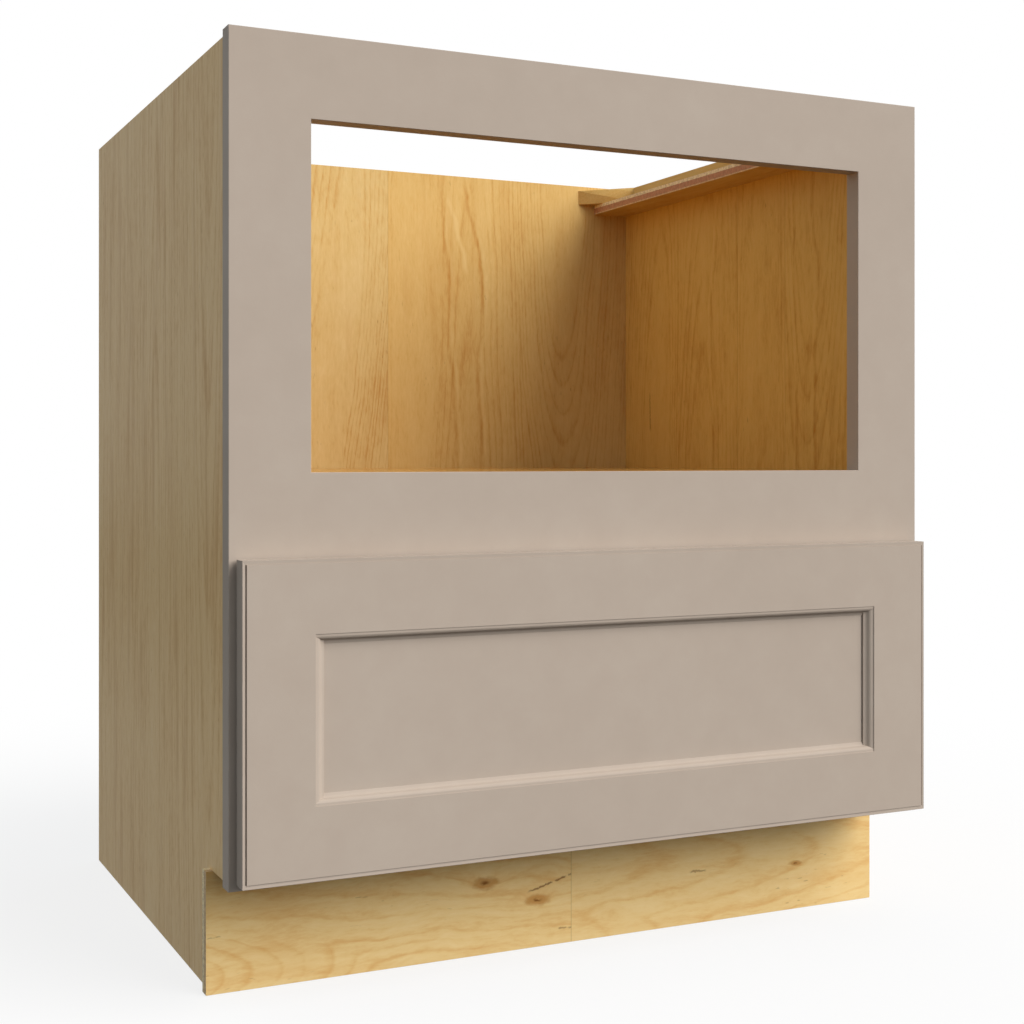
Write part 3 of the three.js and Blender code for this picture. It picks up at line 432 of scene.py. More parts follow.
def wood_surface(g, u, v, w, leaves, knots=(), cracks=(), strands=(), calm=()):
    """Colour and tone of a veneered face at u across the grain, v along it and w through it. Each leaf is
    (where it starts across, look, figures), and the rings fade in the calm spots. A knot is (across, along,
    its two sizes) and a crack (start, end, width, strength)."""
    look = leaves[0][1]
    shares = [g.above(u, start) for start, _look, _figures in leaves[1:]]
    shifted = v
    for share in shares:
        shifted = g.times_plus(share, LEAF_SHIFT, shifted)

    def grain(trait, side=u):
        stretch, scale, detail, roughness = GRAIN[trait]
        value = g.noise(g.join(side, g.times(shifted, stretch), w), scale, detail, roughness)
        return g.span(value, *COMES_IN[trait]) if trait in COMES_IN else value

    bent = bent_grain(g, grain, u, v, look, knots)
    field = leaf_field(g, bent, v, leaves[0][2])
    for share, (_start, _look, figures) in zip(shares, leaves[1:]):
        field = g.blend(share, field, leaf_field(g, bent, v, figures))
    presence = g.times(grain("presence"), g.span(field, HEART, HEART + HEART_FADE))
    for spot in calm:
        presence = g.times(presence, g.span(elliptic(g, u, v, spot), *CALM_RIM))
    tone = g.times_plus(g.times(ring_lines(g, field), presence), -look["line"], TONE + LINE_LIFT)
    for strand in strands:
        tone = g.calc("ADD", tone, strand_tone(g, u, v, strand))
    for trait, side in (("fibre", bent), ("streak", bent), ("mottle", bent), ("cloud", u)):
        tone = g.times_plus(grain(trait, side), look[trait], tone)
    colour = wood_ramp(g, tone, look)
    for share, (_start, other, _figures) in zip(shares, leaves[1:]):
        colour = g.mix(share, colour, wood_ramp(g, tone, other))
    colour = g.mix(g.times(grain("warmth"), look["warmth"]), colour, look["dark"])
    flecks = g.times(g.times(grain("pores"), grain("crowd")), look["pores"])
    colour = g.mix(flecks, colour, look["fleck"])
    for knot in knots:
        colour = with_knot(g, u, v, w, knot, look, colour)
    for start, end, width, strength in cracks:
        mask = crack_mask(g, u, v, start, end, width)
        colour = g.mix(g.times(mask, strength), colour, look["fleck"])
    for start, _look, _figures in leaves[1:]:
        gap = g.calc("ABSOLUTE", g.minus(u, start))
        colour = g.mix(g.times(g.span(gap, *SEAM_RIM), SEAM_STRENGTH), colour, look["fleck"])
    return colour, g.minus(tone, flecks)


PLY_CREAM = srgb(248, 226, 182)
# Near-white ply for the toe board's edges, paler than the cream plies: painted light on edges that sit in
# shade under the cabinet's overhanging front.
PLY_PALE_PAINTED_LIGHT = srgb(255, 236, 190)
PLY_BROWN = srgb(196, 142, 106)
PLY_LIGHT = srgb(224, 192, 146)
PLY_DARK = srgb(140, 92, 66)
PLY_WAVER = 0.035  # how far the plies waver, as a share of the board's thickness
PLY_COARSE = 0.8
PLY_SHADE_RIM = (-0.22, 0.16)
PLY_SHADE = 0.48  # how dark the torn fibres get


def ply_edge(g, axis, low, high, plies):
    """Colour of a plywood board's edge, where its plies show; plies are (share of thickness, colour)."""
    through = g.span(g.axes[axis], low, high, smooth=False)
    waver = g.times_plus(g.noise(g.place, 60.0), PLY_WAVER, through)
    layers = g.ramp(waver, plies, constant=True)
    speck = g.noise(g.place, 800.0, 3.0, 0.75)
    coarse = g.noise(g.place, 260.0)
    shade = g.span(g.times_plus(coarse, PLY_COARSE, speck), *PLY_SHADE_RIM)
    return g.mix(g.blend(shade, PLY_SHADE, 0.0), layers, PLY_DARK)


def even_plies(count):
    colours = (PLY_CREAM, PLY_BROWN)
    return [(index / count, colours[index % 2]) for index in range(count)]


def grain_axes(node, along):
    """(across, along, through) as axis numbers: through is the node's thinnest way that isn't along."""
    low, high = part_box(node)
    size = high - low
    along = AXES.index(along)
    rest = sorted((axis for axis in range(3) if axis != along), key=lambda axis: size[axis])
    return rest[1], along, rest[0], low, high


FACING = 0.5  # part of the normal along an axis above which a surface faces that way
VENEER_GLEAM, VENEER_DULL = 0.12, 0.08  # roughness lost with the tone, and gained


def plywood(name, node, along, leaves, plies=None, roughness=0.42, gloss=WOOD_SPECULAR, side=None, **marks):
    """Veneered board, its plies on its edges. side is (leaves, sign) for a face that differs."""
    across, run, through, low, high = grain_axes(node, along)
    g = Shade(name, roughness, specular=gloss)
    colour, tone = wood_surface(g, g.axes[across], g.axes[run], g.axes[through], leaves, **marks)
    if side:
        other, other_tone = wood_surface(g, g.axes[across], g.axes[run], g.axes[through], side[0])
        facing = g.times(g.split(g.normal)[through], float(side[1]))
        outside = g.above(facing, FACING)
        colour = g.mix(outside, colour, other)
        tone = g.blend(outside, tone, other_tone)
    edge = ply_edge(g, through, low[through], high[through], plies or even_plies(5))
    on_face = g.above(g.facing[through], FACING)
    rough = g.times_plus(tone, -VENEER_GLEAM, roughness + VENEER_DULL)
    dress([node], g.finish(g.mix(on_face, edge, colour), rough, tone, VENEER_BUMP))


CORE_LEAN = 0.035  # how far a core drifts per metre of board
SOLID_LINE = 0.6  # ring lines of sawn wood, as a share of a veneer's
END_SPECK_RIM = (-0.2, 0.15)
END_DARKNESS = (0.55, 0.2)
END_ROUGHNESS = 0.2
SOLID_BUMP = 0.1 * MM


def solid_wood(name, node, along, look, core, ring, roughness=0.4):
    """Board sawn from one piece: rings round a core at (across, through), end grain where cut."""
    across, run, through, _low, _high = grain_axes(node, along)
    g = Shade(name, roughness, specular=WOOD_SPECULAR)
    u, v, w = g.axes[across], g.axes[run], g.axes[through]
    drift = g.times_plus(v, CORE_LEAN, g.minus(w, core[1]))
    wander = g.noise(g.join(u, g.times(v, 0.3), w), 9.0)
    sideways = g.times_plus(wander, look["wander"], g.minus(u, core[0]))
    field = g.calc("DIVIDE", g.length(drift, sideways), ring)
    fibre = g.noise(g.join(u, g.times(v, 0.05), w), 520.0, 2.0, 0.6)
    streak = g.noise(g.join(u, g.times(v, 0.04), w), 110.0)
    tone = g.times_plus(ring_lines(g, field), -SOLID_LINE * look["line"], TONE + LINE_LIFT)
    tone = g.times_plus(fibre, look["fibre"], tone)
    tone = g.times_plus(streak, look["streak"], tone)
    tone = g.times_plus(g.noise(g.place, 9.0), look["cloud"], tone)
    colour = wood_ramp(g, tone, look)
    speck = g.span(g.noise(g.place, 1100.0, 2.0, 0.7), *END_SPECK_RIM)
    end_colour = g.mix(g.blend(speck, *END_DARKNESS), colour, look["dark"])
    at_end = g.above(g.facing[run], FACING)
    rough = g.blend(at_end, roughness, roughness + END_ROUGHNESS)
    dress([node], g.finish(g.mix(at_end, colour, end_colour), rough, tone, SOLID_BUMP))


# ---- Other finishes

PAINT_ROUGHNESS, PAINT_BUMP = 0.46, 0.035 * MM
PAINT_TONES = [(0.2, srgb(174, 160, 147)), (0.5, srgb(178, 164, 151)), (0.8, srgb(182, 169, 156))]
STEEL_ROUGHNESS, STEEL_BUMP = 0.34, 0.02 * MM
STEEL_TONES = [(0.2, srgb(176, 179, 182)), (0.5, srgb(196, 198, 200)), (0.8, srgb(212, 213, 213))]


def satin_paint():
    g = Shade("satin_paint_finish", PAINT_ROUGHNESS, specular=PAINT_SPECULAR)
    cloud = g.noise(g.place, 26.0, 3.0, 0.6)
    drift = g.noise(g.place, 5.0, 1.0)
    tone = g.total(g.times(cloud, 0.55), g.times(drift, 0.4), 0.5)
    colour = g.ramp(tone, PAINT_TONES)
    peel = g.noise(g.place, 520.0)
    film = g.noise(g.place, 90.0)
    rough = g.total(g.times(film, 0.1), PAINT_ROUGHNESS)
    return g.finish(colour, rough, g.total(g.times(film, 0.6), peel), PAINT_BUMP)


def zinc_steel():
    g = Shade("zinc_steel_finish", STEEL_ROUGHNESS, metallic=1.0)
    rolled = g.noise(g.join(g.axes[0], g.times(g.axes[1], 0.03), g.axes[2]), 600.0, 3.0)
    bloom = g.noise(g.place, 45.0, 3.0, 0.6)
    tone = g.total(g.times(rolled, 0.5), bloom, 0.5)
    colour = g.ramp(tone, STEEL_TONES)
    rough = g.total(g.times(bloom, 0.18), g.times(rolled, 0.1), STEEL_ROUGHNESS)
    return g.finish(colour, rough, rolled, STEEL_BUMP)


def moulded(name, dark, light, roughness, scale, depth):
    """Moulded plastic or rubber: fine spark-eroded texture and a little cloudiness."""
    g = Shade(name, roughness, specular=0.4)
    grain = g.noise(g.place, scale)
    cloud = g.noise(g.place, 70.0)
    tone = g.total(g.times(grain, 0.4), cloud, 0.5)
    rough = g.total(g.times(grain, 0.12), roughness)
    return g.finish(g.ramp(tone, [(0.25, dark), (0.75, light)]), rough, grain, depth * MM)


# ---- Meshes

def add_object(name, data):
    item = bpy.data.objects.new(name, data)
    bpy.context.scene.collection.objects.link(item)
    return item


def new_piece(name, mesh, material, body="cabinet", smooth_degrees=35.0):
    piece = add_object(name, mesh)
    mesh.materials.clear()
    mesh.materials.append(material)
    mesh.shade_smooth()
    mesh.set_sharp_from_angle(angle=math.radians(smooth_degrees))
    weighted = piece.modifiers.new("even_shading", "WEIGHTED_NORMAL")
    weighted.keep_sharp = True
    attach(piece, body)
    return piece


def bmesh_to_mesh(bm, name):
    bmesh.ops.recalc_face_normals(bm, faces=bm.faces)
    mesh = bpy.data.meshes.new(name)
    bm.to_mesh(mesh)
    bm.free()
    return mesh


def box_mesh(name, low, high):
    bm = bmesh.new()
    bmesh.ops.create_cube(bm, size=1.0)
    for vertex in bm.verts:
        vertex.co = Vector(high[axis] if vertex.co[axis] > 0 else low[axis] for axis in range(3))
    return bmesh_to_mesh(bm, name)


def skin(bm, rings):
    """Faces between neighbouring rings, of which one may be a single point."""
    for lower, upper in zip(rings, rings[1:]):
        count = max(len(lower), len(upper))
        for step in range(count):
            after = (step + 1) % count
            corners = [lower[step % len(lower)], lower[after % len(lower)]]
            corners += [upper[after % len(upper)], upper[step % len(upper)]]
            bm.faces.new(list(dict.fromkeys(corners)))


def turned_mesh(name, profile, segments):
    """Surface of revolution round Z of a half profile (radius, height) that starts on the axis. It is a solid
    where the profile also ends there."""
    bm = bmesh.new()
    rings = []
    for radius, height in profile:
        if radius == 0:
            rings.append([bm.verts.new((0, 0, height))])
            continue
        turns = (2 * math.pi * step / segments for step in range(segments))
        rings.append([bm.verts.new((radius * math.cos(t), radius * math.sin(t), height)) for t in turns])
    skin(bm, rings)
    return bmesh_to_mesh(bm, name)


def cut_out(mesh, cutters):
    """The mesh with the cutter meshes taken away from it, each given as (mesh, matrix)."""
    body = add_object("cut_body", mesh)
    tools = []
    for cutter, matrix in cutters:
        tool = add_object("cut_tool", cutter)
        tool.matrix_world = matrix
        tools.append(tool)
        modifier = body.modifiers.new("cut", "BOOLEAN")
        modifier.operation = "DIFFERENCE"
        modifier.solver = "EXACT"
        modifier.object = tool
    bpy.context.view_layer.update()
    evaluated = body.evaluated_get(bpy.context.evaluated_depsgraph_get())
    result = bpy.data.meshes.new_from_object(evaluated)
    for item in [body, *tools]:
        bpy.data.objects.remove(item)
    return result


# ---- Face frame

FRAME_EASING = 0.5 * MM
POCKET_ANGLE = math.radians(15.0)
POCKET_RADIUS = 4.75 * MM
POCKET_SEAT = 14.0 * MM
SCREW_RADIUS = 2.0 * MM
SCREW_BITE = 12.0 * MM
SCREW_SEGMENTS = 28
FIT_GAP = 0.3 * MM
OVERSHOOT = 2.0 * MM
ARRIS_ANGLE = math.radians(60)
TOUCHING = 1e-6


def frame_ring_mesh():
    """The painted frame round the window and the drawer opening, its front arrises eased."""
    bm = bmesh.new()
    columns = [-FRAME_HALF, -OPENING_HALF, OPENING_HALF, FRAME_HALF]
    levels = [
        STILE_LOW.z, BOTTOM_RAIL_HIGH.z, MIDDLE_RAIL_LOW.z, MIDDLE_RAIL_HIGH.z, TOP_RAIL_LOW.z, STILE_HIGH.z,
    ]
    grid = [[bm.verts.new((x, FRAME_FACE, z)) for z in levels] for x in columns]
    openings = {(1, 1), (1, 3)}
    faces = []
    for i in range(len(columns) - 1):
        for j in range(len(levels) - 1):
            if (i, j) not in openings:
                corners = (grid[i][j], grid[i + 1][j], grid[i + 1][j + 1], grid[i][j + 1])
                faces.append(bm.faces.new(corners))
    raised = bmesh.ops.extrude_face_region(bm, geom=faces)
    moved = [item for item in raised["geom"] if isinstance(item, bmesh.types.BMVert)]
    bmesh.ops.translate(bm, verts=moved, vec=(0, FRAME_THICKNESS, 0))
    bmesh.ops.recalc_face_normals(bm, faces=bm.faces)
    arrises = [
        edge for edge in bm.edges
        if len(edge.link_faces) == 2 and edge.calc_face_angle() > ARRIS_ANGLE
        and all(abs(vertex.co.y - FRAME_FACE) < TOUCHING for vertex in edge.verts)
    ]
    bmesh.ops.bevel(bm, geom=arrises, offset=FRAME_EASING, segments=4, profile=0.5, affect="EDGES")
    return bmesh_to_mesh(bm, "face_frame_ring")


def pocket_places():
    """(side, height) of every pocket screw, two at each end of the wide rails and one at the narrow one."""
    top = TOP_RAIL_HIGH.z - TOP_RAIL_LOW.z
    middle = MIDDLE_RAIL_HIGH.z - MIDDLE_RAIL_LOW.z
    heights = [
        TOP_RAIL_LOW.z + top / 4,
        TOP_RAIL_LOW.z + 3 * top / 4,
        MIDDLE_RAIL_LOW.z + middle / 4,
        SHELF_LOW.z - 2 * POCKET_RADIUS,
        (STILE_LOW.z + DECK_LOW.z) / 2,
    ]
    return [(side, height) for side in (-1, 1) for height in heights]


def pocket_frame(side, height):
    """Matrix whose Z runs along a pocket screw, outwards and forwards, from where it crosses the joint."""
    direction = Vector((side * math.cos(POCKET_ANGLE), -math.sin(POCKET_ANGLE), 0))
    crossing = Vector((side * OPENING_HALF, FRAME_FACE + FRAME_THICKNESS / 2, height))
    return Matrix.Translation(crossing) @ direction.to_track_quat("Z", "Y").to_matrix().to_4x4()


def pocket_cutters():
    mouth = FRAME_THICKNESS / 2 / math.sin(POCKET_ANGLE) + 2 * POCKET_RADIUS / math.tan(POCKET_ANGLE)
    tip = SCREW_BITE + POCKET_SEAT / 4 + FIT_GAP
    pilot = SCREW_RADIUS + FIT_GAP
    profile = [
        (0, -mouth), (POCKET_RADIUS, -mouth), (POCKET_RADIUS, -POCKET_SEAT), (pilot, -POCKET_SEAT),
        (pilot, tip), (0, tip),
    ]
    tool = turned_mesh("pocket_tool", profile, 24)
    return [(tool, pocket_frame(side, height)) for side, height in pocket_places()]


def stile_groove_cutters():
    """The side panels' front edges sit in grooves in the backs of the stiles."""
    cutters = []
    for side in ("left", "right"):
        low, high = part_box(f"{side}_side_panel")
        tool = box_mesh(
            "groove_tool",
            (low.x - FIT_GAP, low.y - FIT_GAP, STILE_LOW.z - OVERSHOOT),
            (high.x + FIT_GAP, FRAME_BACK + OVERSHOOT, STILE_HIGH.z + OVERSHOOT),
        )
        cutters.append((tool, Matrix.Identity(4)))
    return cutters


def face_frame(paint):
    mesh = cut_out(frame_ring_mesh(), stile_groove_cutters() + pocket_cutters())
    piece = new_piece("painted_face_frame", mesh, paint)
    members = ("left_stile", "right_stile", "top_rail", "middle_rail", "bottom_rail")
    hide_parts(*(f"face_frame_{member}" for member in members))


# ---- Drawer front

MEMBER_WIDTH = FRONT_TOP_LEFT.x - FRONT_LOW.x
FRONT_THICKNESS = FRONT_TOP_LEFT.y - FRONT_LOW.y
PANEL_RECESS = FRONT_PANEL_LOW.y - FRONT_LOW.y
PANEL_THICKNESS = FRONT_PANEL_HIGH.y - FRONT_PANEL_LOW.y
MOULDING_WIDTH = 9.525 * MM
OUTER_STEP = 0.8 * MM
OUTER_FLAT = 2.3 * MM
INNER_FLAT = 1.2 * MM
INNER_STEP = 1.9 * MM
FLAT_TILT = math.radians(15)
RAIL_OUTER_STEP = 0.15 * MM
RAIL_INNER_STEP = 0.25 * MM
SLIT = 0.03 * MM
PANEL_GAP_RIGHT = 0.6 * MM
PANEL_GAP_DEPTH = 2.0 * MM
ARC_STEPS = 10
WALL_STEPS = 5
RIM_WIDTH = 3.8 * MM
RIM_DEPTH = 0.9 * MM
RIM_EDGE_DEPTH = 0.6 * MM
QUIRK_WIDTH = 1.3 * MM
QUIRK_DEPTH = 1.2 * MM
ARRIS_RADIUS = 0.2 * MM
STRAIGHT = math.radians(150)
LONGEST_ARC = 0.45  # reach of a corner's arc, as a share of the straight beside it
FRONT_SMOOTH_DEGREES = 28.0


def rounded(points, radius, steps=3):
    """Open polyline with its sharp inner corners turned into small arcs."""
    result = [points[0]]
    for before, corner, after in zip(points, points[1:], points[2:]):
        middle = Vector(corner)
        to_before, to_after = Vector(before) - middle, Vector(after) - middle
        if to_before.angle(to_after) > STRAIGHT:
            result.append(corner)
            continue
        reach = min(radius, to_before.length * LONGEST_ARC, to_after.length * LONGEST_ARC)
        start = middle + to_before.normalized() * reach
        end = middle + to_after.normalized() * reach
        for step in range(steps + 1):
            t = step / steps
            result.append(tuple(start.lerp(middle, t).lerp(middle.lerp(end, t), t)))
    result.append(points[-1])
    return result


def arc(radius, start, end):
    """(across, down) along an arc from one slope to another, from where it starts."""
    slopes = [start + (end - start) * step / ARC_STEPS for step in range(ARC_STEPS + 1)]
    return [
        (radius * (math.sin(slope) - math.sin(start)), radius * (math.cos(start) - math.cos(slope)))
        for slope in slopes
    ]


def moulding_curve(outer_step, inner_step):
    """(inset, depth) down the moulding: a rounded arc that turns hollow, between two gentle slopes."""
    fall = math.tan(FLAT_TILT)
    start = (MEMBER_WIDTH - MOULDING_WIDTH + OUTER_FLAT, outer_step + OUTER_FLAT * fall)
    end = (MEMBER_WIDTH - INNER_FLAT, PANEL_RECESS - inner_step - INNER_FLAT * fall)
    steepest = 2 * math.atan2(end[1] - start[1], end[0] - start[0]) - FLAT_TILT
    radius = (end[0] - start[0]) / 2 / (math.sin(steepest) - math.sin(FLAT_TILT))
    half = arc(radius, FLAT_TILT, steepest)
    rounded_part = [(start[0] + across, start[1] + down) for across, down in half]
    hollow_part = [(end[0] - across, end[1] - down) for across, down in reversed(half[:-1])]
    return rounded_part + hollow_part


def rail_inset(inset, depth):
    """Inset of the rails where the stiles have the given one. The rails' moulding has softer steps, and their
    quirk is a mere slit."""
    outer, inner = MEMBER_WIDTH - MOULDING_WIDTH, MEMBER_WIDTH
    if RIM_WIDTH - QUIRK_WIDTH - ARRIS_RADIUS < inset < RIM_WIDTH - SLIT:
        return RIM_WIDTH - SLIT - (RIM_WIDTH - SLIT - inset) * SLIT / QUIRK_WIDTH
    if inset < outer or depth > PANEL_RECESS:
        return inset
    points = [
        (outer, 0.0), (outer, RAIL_OUTER_STEP), *moulding_curve(RAIL_OUTER_STEP, RAIL_INNER_STEP),
        (inner, PANEL_RECESS - RAIL_INNER_STEP), (inner, PANEL_RECESS),
    ]
    for (near, above), (far, below) in zip(points, points[1:]):
        if above <= depth <= below:
            return near + (far - near) * (depth - above) / (below - above)
    return inset


def front_profile():
    """(inset from the outer edge, depth behind the face), from the back of the edge round to the panel."""
    inner = MEMBER_WIDTH
    outer = inner - MOULDING_WIDTH
    return [
        (inner, FRONT_THICKNESS),
        (0.0, FRONT_THICKNESS),
        (0.0, RIM_EDGE_DEPTH),
        (RIM_WIDTH - QUIRK_WIDTH, RIM_DEPTH),
        (RIM_WIDTH - QUIRK_WIDTH, RIM_DEPTH + QUIRK_DEPTH),
        (RIM_WIDTH, RIM_DEPTH + QUIRK_DEPTH),
        (RIM_WIDTH, 0.0),
        (outer, 0.0),
        (outer, OUTER_STEP),
        *moulding_curve(OUTER_STEP, INNER_STEP),
        *((inner, PANEL_RECESS - INNER_STEP * (1 - step / WALL_STEPS)) for step in range(WALL_STEPS + 1)),
        (inner, PANEL_RECESS + PANEL_GAP_DEPTH),
        (inner + SLIT, PANEL_RECESS + PANEL_GAP_DEPTH),
        (inner + SLIT, PANEL_RECESS),
        (inner + MEMBER_WIDTH / 2, PANEL_RECESS),
    ]


def front_rings(bm):
    """Rings of four corners, from the back of the panel round the edge to its face. A vertex's index modulo 4
    is its corner."""
    half = -FRONT_LOW.x
    profile = [(MEMBER_WIDTH, PANEL_RECESS + PANEL_THICKNESS)] + rounded(front_profile(), ARRIS_RADIUS)
    rings = []
    for inset, depth in profile:
        on_rail = rail_inset(inset, depth)
        gap = PANEL_GAP_RIGHT - SLIT if inset > MEMBER_WIDTH else 0
        left, right = inset - half, half - inset - gap
        low, high, y = FRONT_LOW.z + on_rail, FRONT_TOP_LEFT.z - on_rail, FRONT_LOW.y + depth
        corners = ((left, y, low), (right, y, low), (right, y, high), (left, y, high))
        rings.append([bm.verts.new(corner) for corner in corners])
    return rings


def drawer_front(paint):
    bm = bmesh.new()
    rings = front_rings(bm)
    skin(bm, rings)
    bm.faces.new(rings[0])
    bm.faces.new(rings[-1])
    mesh = bmesh_to_mesh(bm, "drawer_front")
    piece = new_piece("painted_drawer_front", mesh, paint, "drawer", FRONT_SMOOTH_DEGREES)
    for edge in piece.data.edges:
        first, second = edge.vertices
        if first % 4 == second % 4:  # a mitre
            edge.use_edge_sharp = True
    members = ("left_stile", "right_stile", "top_rail", "bottom_rail", "panel")
    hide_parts(*(f"drawer_front_{member}" for member in members))


# ---- Screws

HEAD_RADIUS = 4.0 * MM
HEAD_THICKNESS = 1.8 * MM
RECESS_SIDE = 2.6 * MM
RECESS_DEPTH = 1.3 * MM
THREAD_PITCH = 1.6 * MM
THREAD_DEPTH = 0.45 * MM
HEAD_SHAPE = [(0, 1), (0.72, 1), (0.92, 0.72), (1, 0.4), (1, 0)]  # shares of its radius and thickness
THREAD_SHAPE = [(1, 0.25), (1, 0.6), (0, 0.9)]  # shares of its depth and pitch
SLIDE_FLANGE = 1.5 * MM
SLIDE_SCREW_LEVEL = 0.55  # share of the slide's height
SLIDE_SCREW_PLACES = (0.1, 0.5, 0.9)  # shares of its length


def screw_mesh(name, shank_length):
    """Pan-head screw along +Z with the underside of its head at zero, a square recess and a ridged shank."""
    profile = [(HEAD_RADIUS * across, -HEAD_THICKNESS * up) for across, up in HEAD_SHAPE]
    profile.append((SCREW_RADIUS, 0))
    turns = int((shank_length - 2 * SCREW_RADIUS) / THREAD_PITCH)
    for turn in range(1, turns):
        height = turn * THREAD_PITCH
        for cut, share in THREAD_SHAPE:
            profile.append((SCREW_RADIUS - THREAD_DEPTH * cut, height + THREAD_PITCH * share))
    mesh = turned_mesh(name, [*profile, (0, shank_length)], SCREW_SEGMENTS)
    recess = box_mesh(
        "recess_tool",
        (-RECESS_SIDE / 2, -RECESS_SIDE / 2, -HEAD_THICKNESS - OVERSHOOT),
        (RECESS_SIDE / 2, RECESS_SIDE / 2, -HEAD_THICKNESS + RECESS_DEPTH),
    )
    return cut_out(mesh, [(recess, Matrix.Identity(4))])


def place_screw(name, mesh, matrix, steel, body):
    piece = new_piece(name, mesh, steel, body)
    piece.matrix_world = matrix
    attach(piece, body)
    return piece


def pocket_screws(steel):
    mesh = screw_mesh("pocket_screw", POCKET_SEAT + SCREW_BITE)
    seat = Matrix.Translation((0, 0, -POCKET_SEAT))
    for number, (side, height) in enumerate(pocket_places(), 1):
        place_screw(f"pocket_screw_{number}", mesh, pocket_frame(side, height) @ seat, steel, "cabinet")


def slide_screws(steel):
    """Three screws through each cabinet member into its mounting block."""
    height = SLIDE_LOW.z + SLIDE_SCREW_LEVEL * (SLIDE_HIGH.z - SLIDE_LOW.z)
    mesh = screw_mesh("slide_screw", SLIDE_FLANGE + SCREW_BITE)
    for label, side in SIDES:
        turn = Vector((side, 0, 0)).to_track_quat("Z", "Y").to_matrix().to_4x4()
        for number, share in enumerate(SLIDE_SCREW_PLACES, 1):
            depth = SLIDE_LOW.y + share * (SLIDE_HIGH.y - SLIDE_LOW.y)
            seat = Matrix.Translation((side * (OPENING_HALF - SLIDE_FLANGE), depth, height)) @ turn
            place_screw(f"slide_screw_{label}_{number}", mesh, seat, steel, "cabinet")


def drawer_front_screws(steel):
    """The screws that hold the drawer front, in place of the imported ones."""
    turn = Vector((0, -1, 0)).to_track_quat("Z", "Y").to_matrix().to_4x4()
    for level in ("upper", "lower"):
        for side in ("left", "right"):
            node = f"drawer_front_screw_{level}_{side}"
            low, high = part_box(node)
            length = high.y - low.y - HEAD_THICKNESS
            mesh = screw_mesh(node, length)
            middle = (low + high) / 2
            seat = Matrix.Translation((middle.x, high.y - HEAD_THICKNESS, middle.z)) @ turn
            piece = place_screw(f"front_screw_{level}_{side}", mesh, seat, steel, "drawer")
            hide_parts(node)


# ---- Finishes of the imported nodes

WELD_REACH = 0.01 * MM
EASED_ANGLE = math.radians(50)


def dress(names, material, easing=0.25):
    """Gives the nodes a material and eased edges; easing is in millimetres."""
    for name in names:
        node = NODES[name]
        for slot in node.material_slots:
            slot.material = material
        weld = node.modifiers.new("join_corners", "WELD")
        weld.merge_threshold = WELD_REACH
        bevel = node.modifiers.new("eased_edges", "BEVEL")
        bevel.width = easing * MM
        bevel.segments = 2
        bevel.limit_method = "ANGLE"
        bevel.angle_limit = EASED_ANGLE


# Leaves are (start across, look, figures), and a figure is (middle across, start along, depth of its heart,
# taper, lean, ring width, skew).
BACK_LEAVES = [
    # the left leaf's paler colour is painted light
    (-1.0, BLOND_WITH_PAINTED_LIGHT, [
        (-0.046, 0.85, 0.029, 0.034, -0.11, 0.0042, 0.6), (-0.26, 0.3, 0.02, 0.05, 0.0, 0.008, 1.0),
    ]),
    (0.0, GOLDEN, [
        (0.262, 0.7, 0.03, -0.12, 0.0, 0.0048, 1.0), (0.118, 0.2, 0.03, 0.03, 0.0, 0.0056, 1.0),
    ]),
]
BACK_CALM = [(-0.078, 0.62, 0.02, 0.22), (0.04, 0.68, 0.04, 0.4)]
BACK_STRANDS = [
    ([
        (0.44, 0.104), (0.52, 0.099), (0.6, 0.094), (0.67, 0.087), (0.74, 0.087), (0.81, 0.079), (0.92, 0.08),
    ], 0.0046, 0.18, 0.18),
    ([
        (0.44, 0.13), (0.53, 0.136), (0.59, 0.131), (0.66, 0.134), (0.72, 0.138), (0.78, 0.131),
        (0.86, 0.112), (0.92, 0.108),
    ], 0.0044, 0.18, 0.16),
    ([(0.74, 0.116), (0.79, 0.104), (0.85, 0.084)], 0.005, -0.34, 0.0),
]
# The inner faces' deeper orange colour is painted shade.
SIDE_LEAVES = [
    (-1.0, AMBER_SHADE_DEEPENED, [
        (-0.135, 0.74, 0.034, -0.11, 0.02, 0.006, 1.0), (-0.24, 0.2, 0.04, 0.03, 0.0, 0.006, 1.0),
    ]),
    (-0.084, AMBER_SHADE_DEEPENED, [(-0.034, 0.2, 0.02, 0.03, 0.0, 0.0052, 1.0)]),
    (0.016, AMBER_SHADE_DEEPENED, [
        (0.206, 0.72, 0.036, 0.085, 0.05, 0.0055, 1.0), (0.1, 0.45, 0.04, 0.06, 0.04, 0.0065, 1.0),
    ]),
]
SIDE_CALM = [(-0.034, 0.65, 0.045, 0.4)]
SIDE_STRANDS = [
    ([(0.44, 0.082), (0.56, 0.07), (0.66, 0.076), (0.76, 0.066), (0.86, 0.056)], 0.0046, 0.15, 0.1),
    ([(0.44, -0.15), (0.58, -0.142), (0.7, -0.148), (0.8, -0.138), (0.88, -0.15)], 0.0048, 0.15, 0.12),
    ([(0.44, -0.106), (0.6, -0.108), (0.74, -0.102), (0.86, -0.112)], 0.0042, 0.13, 0.1),
]
SIDE_CRACKS = [((0.2285, 0.53), (0.23, 0.59), 0.0011, 0.75)]
EXTERIOR_LEAVES = [(-1.0, OLIVE, [
    (0.02, 0.4, 0.042, 0.03, 0.03, 0.0062, 1.0), (-0.2, 0.95, 0.044, -0.035, 0.0, 0.0066, 1.0),
])]
